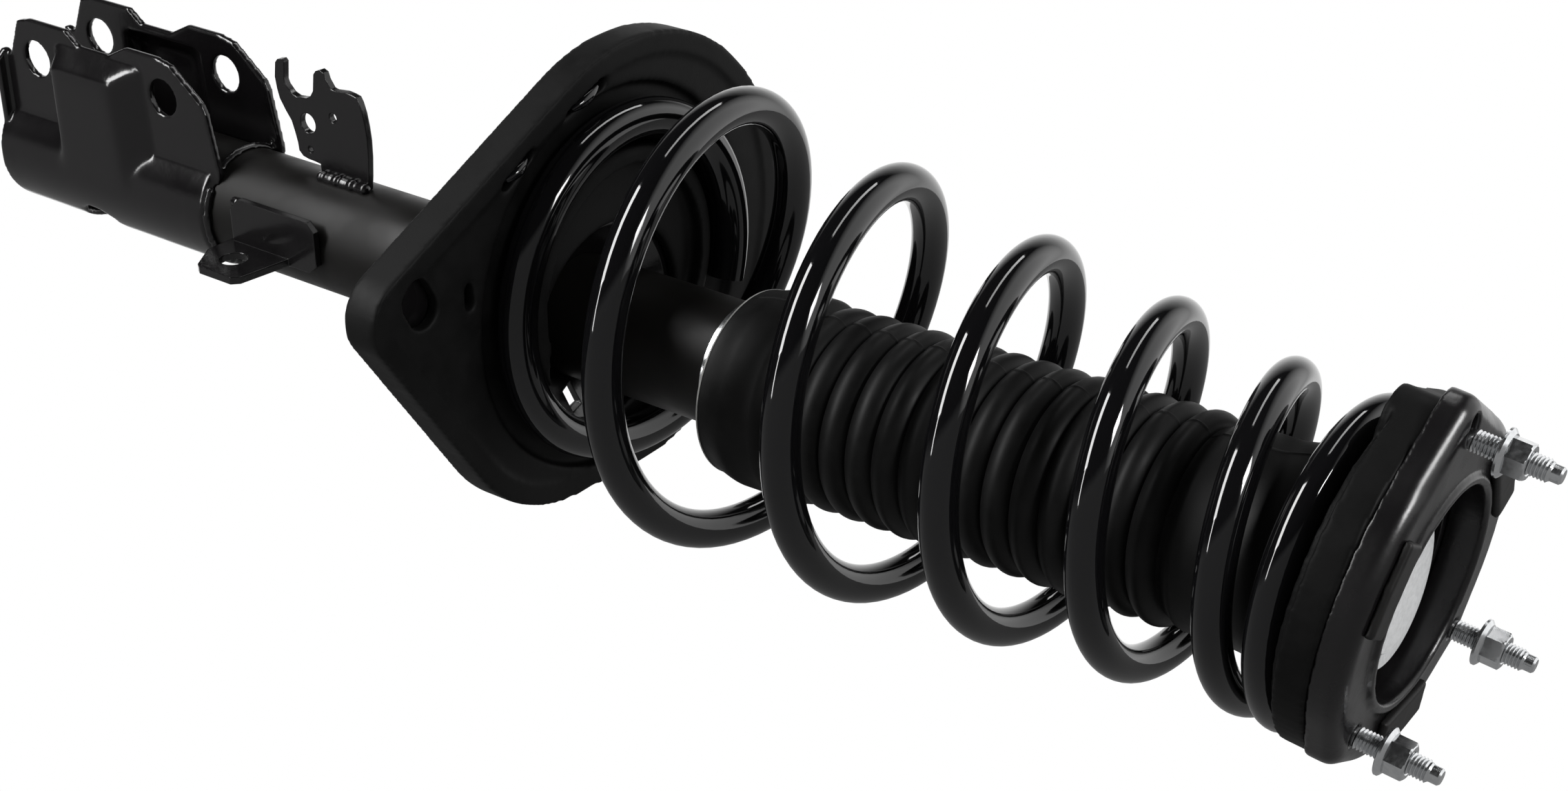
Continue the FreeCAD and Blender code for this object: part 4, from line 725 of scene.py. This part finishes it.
def nose_outline(radius, nose_radius, reach):
    """A disc with a half-round nose whose flanks touch both arcs, in millimetres."""
    middle_y = reach - nose_radius
    low = math.asin((radius - nose_radius) / middle_y) if middle_y > radius - nose_radius else 0.0
    nose = [low + (math.pi - 2 * low) * i / 24 for i in range(25)]
    disc = [math.pi - low + (math.pi + 2 * low) * i / 72 for i in range(73)]
    return ([(nose_radius * math.cos(a), middle_y + nose_radius * math.sin(a)) for a in nose]
            + [(radius * math.cos(a), radius * math.sin(a)) for a in disc])


print("the mount leans by", round(math.degrees(lean), 1), "degrees")

# %% Seats, mount and lugs
hang("lower_spring_seat",
     moulded(packed_copy("lower_spring_insulator", sunk_channel), cell_mm=1.15, passes=6),
     "tube_and_bracket", seat_rubber, ["lower_spring_insulator"])
block = [(block_radius * math.cos(a), block_y + block_radius * math.sin(a))
         for a in [math.pi * i / 24 for i in range(25)]]
block += [(-block_radius, block_back), (block_radius, block_back)]
bore = circle_points(0, 0, insulator_bore, 64)
layers = (([nose_outline(disc_radius, block_radius, disc_reach), bore], disc_low),
          ([circle_points(0, 0, ring_radius, 64), bore], ring_low), ([block], block_low))
insulator = merged("insulator_body", [plate("insulator_layer", loops, low, insulator_top, leaned)
                                      for loops, low in layers])
hang("upper_spring_seat", moulded(insulator, cell_mm=0.9, passes=6), "mount_and_rod", pad_rubber,
     ["upper_spring_insulator"])
hang("drawn_mount_shell", moulded(packed_copy("mount_shell", drawn_nose), cell_mm=0.75, passes=4),
     "mount_and_rod", shell_coat, ["mount_shell"])
hang("moulded_lugs", moulded(packed_copy("mount_lugs"), cell_mm=0.6, passes=6), "mount_and_rod",
     lug_rubber, ["mount_lugs"])

# %% [markdown]
# ## Pressed and cut steel
# The knuckle bracket's stiffening bulge is pressed from flat sheet, so its flanks flow
# into the ears without a sharp line: that zone is smoothed most. The wire bracket is cut
# by laser from 3 millimetre sheet along a lively outline with a fork for the wire. Two
# painted tabs of the seat pan show in the slots of the rubber.

# %% The knuckle bracket
def bulge_flanks(x, y, z):
    """Whether a point lies on the pressed bulges, in millimetres."""
    return abs(x) > 21.0 and -690 < z < -572


hang("pressed_knuckle_bracket",
     moulded(packed_copy("knuckle_bracket"), cell_mm=0.9, passes=3, melts=bulge_flanks, melt_passes=60),
     "tube_and_bracket", dip_coat, ["knuckle_bracket"])

# %% The wire bracket and the tabs
wire_outline = [
    (72.7, -533.1), (74.4, -531.6), (75.0, -528.9), (73.9, -527.7), (65.5, -528.8), (63.5, -528.0),
    (60.4, -524.9), (59.4, -521.8), (60.1, -515.8), (61.8, -513.1), (64.4, -511.3), (72.1, -510.1),
    (74.0, -508.6), (75.0, -506.0), (74.1, -503.7), (71.0, -502.7), (67.7, -500.3), (67.3, -498.3),
    (68.1, -491.7), (67.7, -488.1), (67.1, -485.3), (64.9, -484.0), (60.3, -482.5), (54.3, -481.5),
    (48.2, -481.0), (40.6, -481.2), (31.5, -482.1), (25.5, -483.0), (25.5, -510.5), (31.2, -510.8),
    (31.6, -514.0), (31.8, -517.9), (32.5, -521.2), (34.6, -523.4), (38.1, -523.7), (42.9, -524.9),
    (47.7, -526.4), (52.0, -529.6), (56.5, -532.4), (60.7, -533.5), (66.0, -534.2),
]
wire_holes = [circle_points(48.6, -516.3, 4.6), circle_points(54.6, -500.6, 2.3, 20),
              circle_points(36.6, -516.2, 1.6, 16)]
sheet = 3.0
sideways = Matrix(((0, 0, 1, 0), (1, 0, 0, 0), (0, 1, 0, 0), (0, 0, 0, 1)))
wire_plate = plate("wire_plate", [wire_outline] + wire_holes, -sheet / 2, sheet / 2, sideways)
hang("cut_wire_bracket", wire_plate, "tube_and_bracket", dip_coat,
     ["wire_bracket"], crease=30)
tab_height, tab_rise, tab_radius, tab_swell, tab_steps = -351.6, 1.0, 1.2, 1.3, 8
for name, start, end in (("pan_tab_front", (-17.4, 97.4), (-2.5, 102.3)),
                         ("pan_tab_side", (-56.0, 81.6), (-44.5, 86.0))):
    shares = [i / tab_steps for i in range(tab_steps + 1)]
    arch = [math.sin(math.pi * share) for share in shares]
    line = [(start[0] + (end[0] - start[0]) * share, start[1] + (end[1] - start[1]) * share,
             tab_height + tab_rise * rise) for share, rise in zip(shares, arch)]
    tab_base = path_mesh(name + "_line", line, [tab_radius + tab_swell * rise for rise in arch])
    hang(name, grown(name, tab_base, wire_tree, {"Sides": 24}), "tube_and_bracket", powder_coat,
         crease=50)

# %% [markdown]
# ## Studs with rolled threads
# Three studs of 8 millimetres stand on the mount. Their thread has a pitch of 1.25, so
# the tree sweeps a small diamond up a helix with that pitch and joins it to a core, a
# chamfer and the plain dog point with a chamfer of its own. One stud is instanced on
# three points, and the whole group is then leaned with the mount.

# %% The studs
ridge_radius, thread_start = 0.62, 0.7
# From, to, radius below and radius above of the core, its chamfer, the point and its chamfer.
core_and_point = ((-4.6, 26.6, 3.42, 3.42), (26.6, 27.3, 3.42, 3.0), (27.3, 30.2, 3.0, 3.0),
                  (30.2, 30.9, 3.0, 2.4))
tree, given = new_tree("rolled_stud", ["Pitch", "Thread Radius", "Thread Length"])
rotations = maths(tree, "DIVIDE", given["Thread Length"], given["Pitch"])
thread_middle = maths(tree, "SUBTRACT", given["Thread Radius"], ridge_radius * MM)
helix = add(tree, "GeometryNodeCurveSpiral", {
    "Resolution": 26, "Rotations": rotations, "Start Radius": thread_middle,
    "End Radius": thread_middle, "Height": given["Thread Length"]})
standing = add(tree, "GeometryNodeSetCurveNormal", {"Curve": helix.outputs[0]}, mode="Z_UP")
diamond = add(tree, "GeometryNodeCurvePrimitiveCircle", {"Resolution": 4, "Radius": ridge_radius * MM})
thread = add(tree, "GeometryNodeCurveToMesh", {
    "Curve": standing.outputs[0], "Profile Curve": diamond.outputs["Curve"], "Fill Caps": True})
lifted = add(tree, "GeometryNodeTransform", {
    "Geometry": thread.outputs[0], "Translation": (0, 0, thread_start * MM)})
stud_parts = [lifted.outputs[0]]
for low, high, bottom_radius, top_radius in core_and_point:
    cone = add(tree, "GeometryNodeMeshCone", {
        "Vertices": 40, "Radius Top": top_radius * MM, "Radius Bottom": bottom_radius * MM,
        "Depth": (high - low) * MM})
    stud_parts.append(add(tree, "GeometryNodeTransform", {
        "Geometry": cone.outputs[0], "Translation": (0, 0, low * MM)}).outputs[0])
joined = add(tree, "GeometryNodeJoinGeometry")
for part in stud_parts:
    tree.links.new(part, joined.inputs[0])
planted = add(tree, "GeometryNodeInstanceOnPoints", {
    "Points": given["Geometry"], "Instance": joined.outputs[0]})
close_tree(tree, planted.outputs[0], zinc)
stud_spots = [(0, 61.0, 0), (39.5, -36.2, 0), (-39.5, -36.2, 0)]
studs = grown("studs", path_mesh("stud_spots", stud_spots), tree,
              {"Pitch": 1.25 * MM, "Thread Radius": 4.0 * MM, "Thread Length": 25.8 * MM})
studs.transform(leaned)
hang("rolled_studs", studs, "mount_and_rod", zinc, ["mount_studs"], crease=30)

# %% [markdown]
# ## Flange nuts
# A flange nut is a hexagon of 12 millimetres across flats whose upper corners are turned
# off by a cone, standing on a round flange. One rule gives its wall: at each angle it is
# where the flat is, unless the cone comes first. Each nut stopped at its own turn.

# %% The flange nuts
nut_base, nut_height, nut_flat, flange_reach, nut_bore = 10.5, 9.5, 6.0, 8.6, 4.05
cone_top, cone_slope = 5.75, 1.7
nut_rings = [(0.0, 8.3), (0.25, flange_reach), (1.1, flange_reach), (1.5, 8.2), (2.3, 7.1)]
nut_rings += [(h, None) for h in (2.31, 4.0, 6.0, 7.6, 8.0, 8.3, 8.6, 8.9, 9.2, nut_height)]
nut_rings += [(nut_height, 4.5), (9.1, nut_bore), (0.0, nut_bore)]


def nut_mesh(name, turn):
    """A hexagon nut with its flange, standing on z = 0; None in a ring is the hexagon's wall."""
    points, angles = [], round_angles(96)
    for angle in angles:
        bend = (angle + math.pi / 6) % (math.pi / 3) - math.pi / 6
        flat = nut_flat / math.cos(bend)
        for height, reach in nut_rings:
            if reach is None:
                reach = min(flat, cone_top + (nut_height - height) * cone_slope)
            points.append((reach * math.cos(angle + turn), reach * math.sin(angle + turn), height))
    return ring_skin(name, points, len(angles), len(nut_rings))


nuts = [nut_mesh("nut", turn) for turn in (0.15, 0.62, 0.33)]
for nut, (x, y, z) in zip(nuts, stud_spots):
    nut.transform(leaned @ Matrix.Translation((x * MM, y * MM, nut_base * MM)))
hang("plated_flange_nuts", outward(merged("flange_nuts_group", nuts)), "mount_and_rod", zinc,
     ["flange_nuts"], crease=24)

# %% [markdown]
# ## Weld beads
# The brackets and the seat pan are joined to the tube by gas-shielded welds. Such a bead
# is a row of overlapping frozen pools. The tree sets a drop every millimetre and a half
# along the joint and varies its size with a fixed seed; the paint over it is the same
# dip coat. Each seam is given with the radius of its drops and the step between them.

# %% Weld beads
tree, given = new_tree("weld_bead", ["Step", "Bead Radius", "Seed"])
seam = add(tree, "GeometryNodeMeshToCurve", {"Mesh": given["Geometry"]})
pools = add(tree, "GeometryNodeResampleCurve", {"Curve": seam.outputs[0], "Length": given["Step"]},
            mode="LENGTH")
drop = add(tree, "GeometryNodeMeshIcoSphere", {"Radius": given["Bead Radius"], "Subdivisions": 3})
vary = add(tree, "FunctionNodeRandomValue", {2: 0.82, 3: 1.12, "Seed": given["Seed"]}, data_type="FLOAT")
beads = add(tree, "GeometryNodeInstanceOnPoints", {
    "Points": pools.outputs[0], "Instance": drop.outputs[0], "Scale": vary.outputs[1]})
close_tree(tree, beads.outputs[0], dip_coat)


def ring_points(radius, height, start=0, end=360, step=6):
    """Points on an arc round the tube, in millimetres and degrees."""
    return [(radius * math.cos(math.radians(d)), radius * math.sin(math.radians(d)), height)
            for d in range(start, end + 1, step)]


weld_seams = {
    "weld_bracket_collar": (ring_points(26.4, -559.6, 150, 390), 1.9, 1.5),
    "weld_pan_collar": (ring_points(26.3, -384.6), 1.9, 1.5),
    "weld_hose_tab_upper": ([(-25.6, 14.5, -540.5), (-25.9, 13.5, -531), (-25.9, 13.0, -524)], 2.3, 1.7),
    "weld_hose_tab_lower": ([(-25.4, -6.6, -538), (-25.4, -6.6, -508)], 1.6, 1.4),
    "weld_wire_plate": ([(-2.6, 26.2, -484), (-2.8, 26.0, -509)], 2.5, 1.7),
}
for seed, (name, (points, bead_reach, step)) in enumerate(weld_seams.items(), 3):
    bead_mesh = grown(name, path_mesh(name + "_seam", points), tree,
                      {"Step": step * MM, "Bead Radius": bead_reach * MM, "Seed": seed})
    hang(name, bead_mesh, "tube_and_bracket", dip_coat)

# %% [markdown]
# ## Floor, light and surroundings
# The strut was photographed lying over a white table, so the floor faces the picture's
# upward direction. The lamps are two soft boxes on the left that draw the long bars of
# light on the coils, a soft one above, and a small one with a grid that only lights the
# mount's end. Gloss black shows mostly what surrounds it: the white table below and
# behind, and the dark room above. The world is therefore white to the camera and an even
# grey for plain light; for reflections it is pale below, bright behind and to the right,
# where the zinc looks, and dark elsewhere.

# %% Camera directions
picture_right = Vector((0.59254, -0.00429, 0.80553))
picture_up = Vector((0.37839, 0.88428, -0.27362))
picture_back = Vector((-0.71114, 0.46694, 0.52559))
middle = Vector((0, 0, -0.33))
print("the camera looks along", [round(-c, 2) for c in picture_back])

# %% Floor
def mirror_rays(tree, ray):
    """1 for light seen in a mirror or through glass, 0 for other light."""
    return maths(tree, "MAXIMUM", ray["Is Glossy Ray"], ray["Is Transmission Ray"])


def mixed(tree, share, one, other):
    """Mix of two shaders."""
    return add(tree, "ShaderNodeMixShader", {0: share, 1: one, 2: other}).outputs[0]


floor_drop, floor_reach, floor_glow = 0.30, 2.5, 0.28
floor_mesh = bpy.data.meshes.new("floor")
centre = middle - picture_up * floor_drop
corners = [centre + picture_right * a * floor_reach + picture_back * b * floor_reach
           for a, b in ((-1, -1), (1, -1), (1, 1), (-1, 1))]
floor_mesh.from_pydata(corners, [], [(0, 3, 2, 1)])
floor = placed("floor", floor_mesh)
floor_white, tree = blank_material("white_table")
ray = add(tree, "ShaderNodeLightPath").outputs
pale = add(tree, "ShaderNodeBsdfDiffuse", {"Color": colour("E6E6E4")})
shown = add(tree, "ShaderNodeEmission", {"Color": colour("FFFFFF"), "Strength": floor_glow})
white = mixed(tree, mirror_rays(tree, ray), pale.outputs[0], shown.outputs[0])
add(tree, "ShaderNodeOutputMaterial", {"Surface": white})
floor_mesh.materials.append(floor_white)
floor.visible_camera = False
print("floor lies", round(floor_drop / MM), "mm below the strut's middle")

# %% Lamps
def soft_box(name, direction, distance, width, height, power, target=middle, spread=180):
    """A rectangular lamp in watts, metres and degrees that looks at its target."""
    lamp = bpy.data.lights.new(name, "AREA")
    lamp.shape = "RECTANGLE"
    lamp.size, lamp.size_y, lamp.energy = width, height, power
    lamp.spread = math.radians(spread)
    box = placed(name, lamp)
    right, up, back = direction
    towards = (picture_right * right + picture_up * up + picture_back * back).normalized()
    box.location = target + towards * distance
    box.rotation_mode = "QUATERNION"
    box.rotation_quaternion = (target - box.location).to_track_quat("-Z", "Y")
    print(name, power, "W at", distance, "m")


soft_box("key_box", (-0.74, 0.58, 0.36), 1.7, width=1.3, height=0.46, power=34)
soft_box("side_box", (-0.93, 0.10, 0.42), 1.7, width=0.6, height=0.14, power=4.5)
soft_box("top_box", (0.25, 0.93, 0.05), 1.7, width=1.4, height=0.22, power=6)
soft_box("mount_box", (0.55, 0.35, 0.75), 0.9, width=0.25, height=0.25, power=0.65,
         target=Vector((0, 0, -0.01)), spread=50)

# %% World
table_glow, back_glow, side_glow, room_glow, even_glow = 0.27, 1.1, 1.3, 0.02, 0.40
world = bpy.data.worlds.new("studio")
world.use_nodes = True
tree = world.node_tree
tree.nodes.clear()
bpy.context.scene.world = world
ray = add(tree, "ShaderNodeLightPath").outputs
heading = add(tree, "ShaderNodeTexCoord").outputs["Generated"]
upward, backward, aside = (
    add(tree, "ShaderNodeVectorMath", {0: heading, 1: axis}, operation="DOT_PRODUCT").outputs["Value"]
    for axis in (picture_up, picture_back, picture_right))
below = stretch(tree, upward, 0.0, 1.0, 0.12, -0.02)
behind = stretch(tree, backward, 0.0, back_glow, -0.5, -0.85)
beside = stretch(tree, aside, 0.0, side_glow, 0.5, 0.78)
under = maths(tree, "MULTIPLY", below, table_glow)
pale_side = maths(tree, "MAXIMUM", under, maths(tree, "MAXIMUM", behind, beside))
even, room, paper = (
    add(tree, "ShaderNodeBackground", {"Color": colour("FFFFFF"), "Strength": strength}).outputs[0]
    for strength in (even_glow, maths(tree, "ADD", pale_side, room_glow), 1.0))
reflected = mixed(tree, mirror_rays(tree, ray), even, room)
seen = mixed(tree, ray["Is Camera Ray"], reflected, paper)
add(tree, "ShaderNodeOutputWorld", {"Surface": seen})
bpy.context.scene.view_settings.view_transform = "Standard"
print("studio ready")

# %% [markdown]
# ## The camera
# The camera stands where the photograph was taken: its place and turn were worked out
# from the bolt holes, the tube, the studs and the coils in the picture.

# %% Camera
lens = bpy.data.cameras.new("camera")
lens.lens, lens.sensor_width = 57.80, 36.0
lens.clip_start, lens.clip_end = 0.01, 50.0
camera = placed("camera", lens)
stand = Vector((-0.69224, 0.44860, 0.24730))
camera.matrix_world = Matrix((
    (picture_right.x, picture_up.x, picture_back.x, stand.x),
    (picture_right.y, picture_up.y, picture_back.y, stand.y),
    (picture_right.z, picture_up.z, picture_back.z, stand.z),
    (0, 0, 0, 1)))
bpy.context.scene.camera = camera
print("camera is", round((stand - middle).length, 3), "m from the strut's middle")
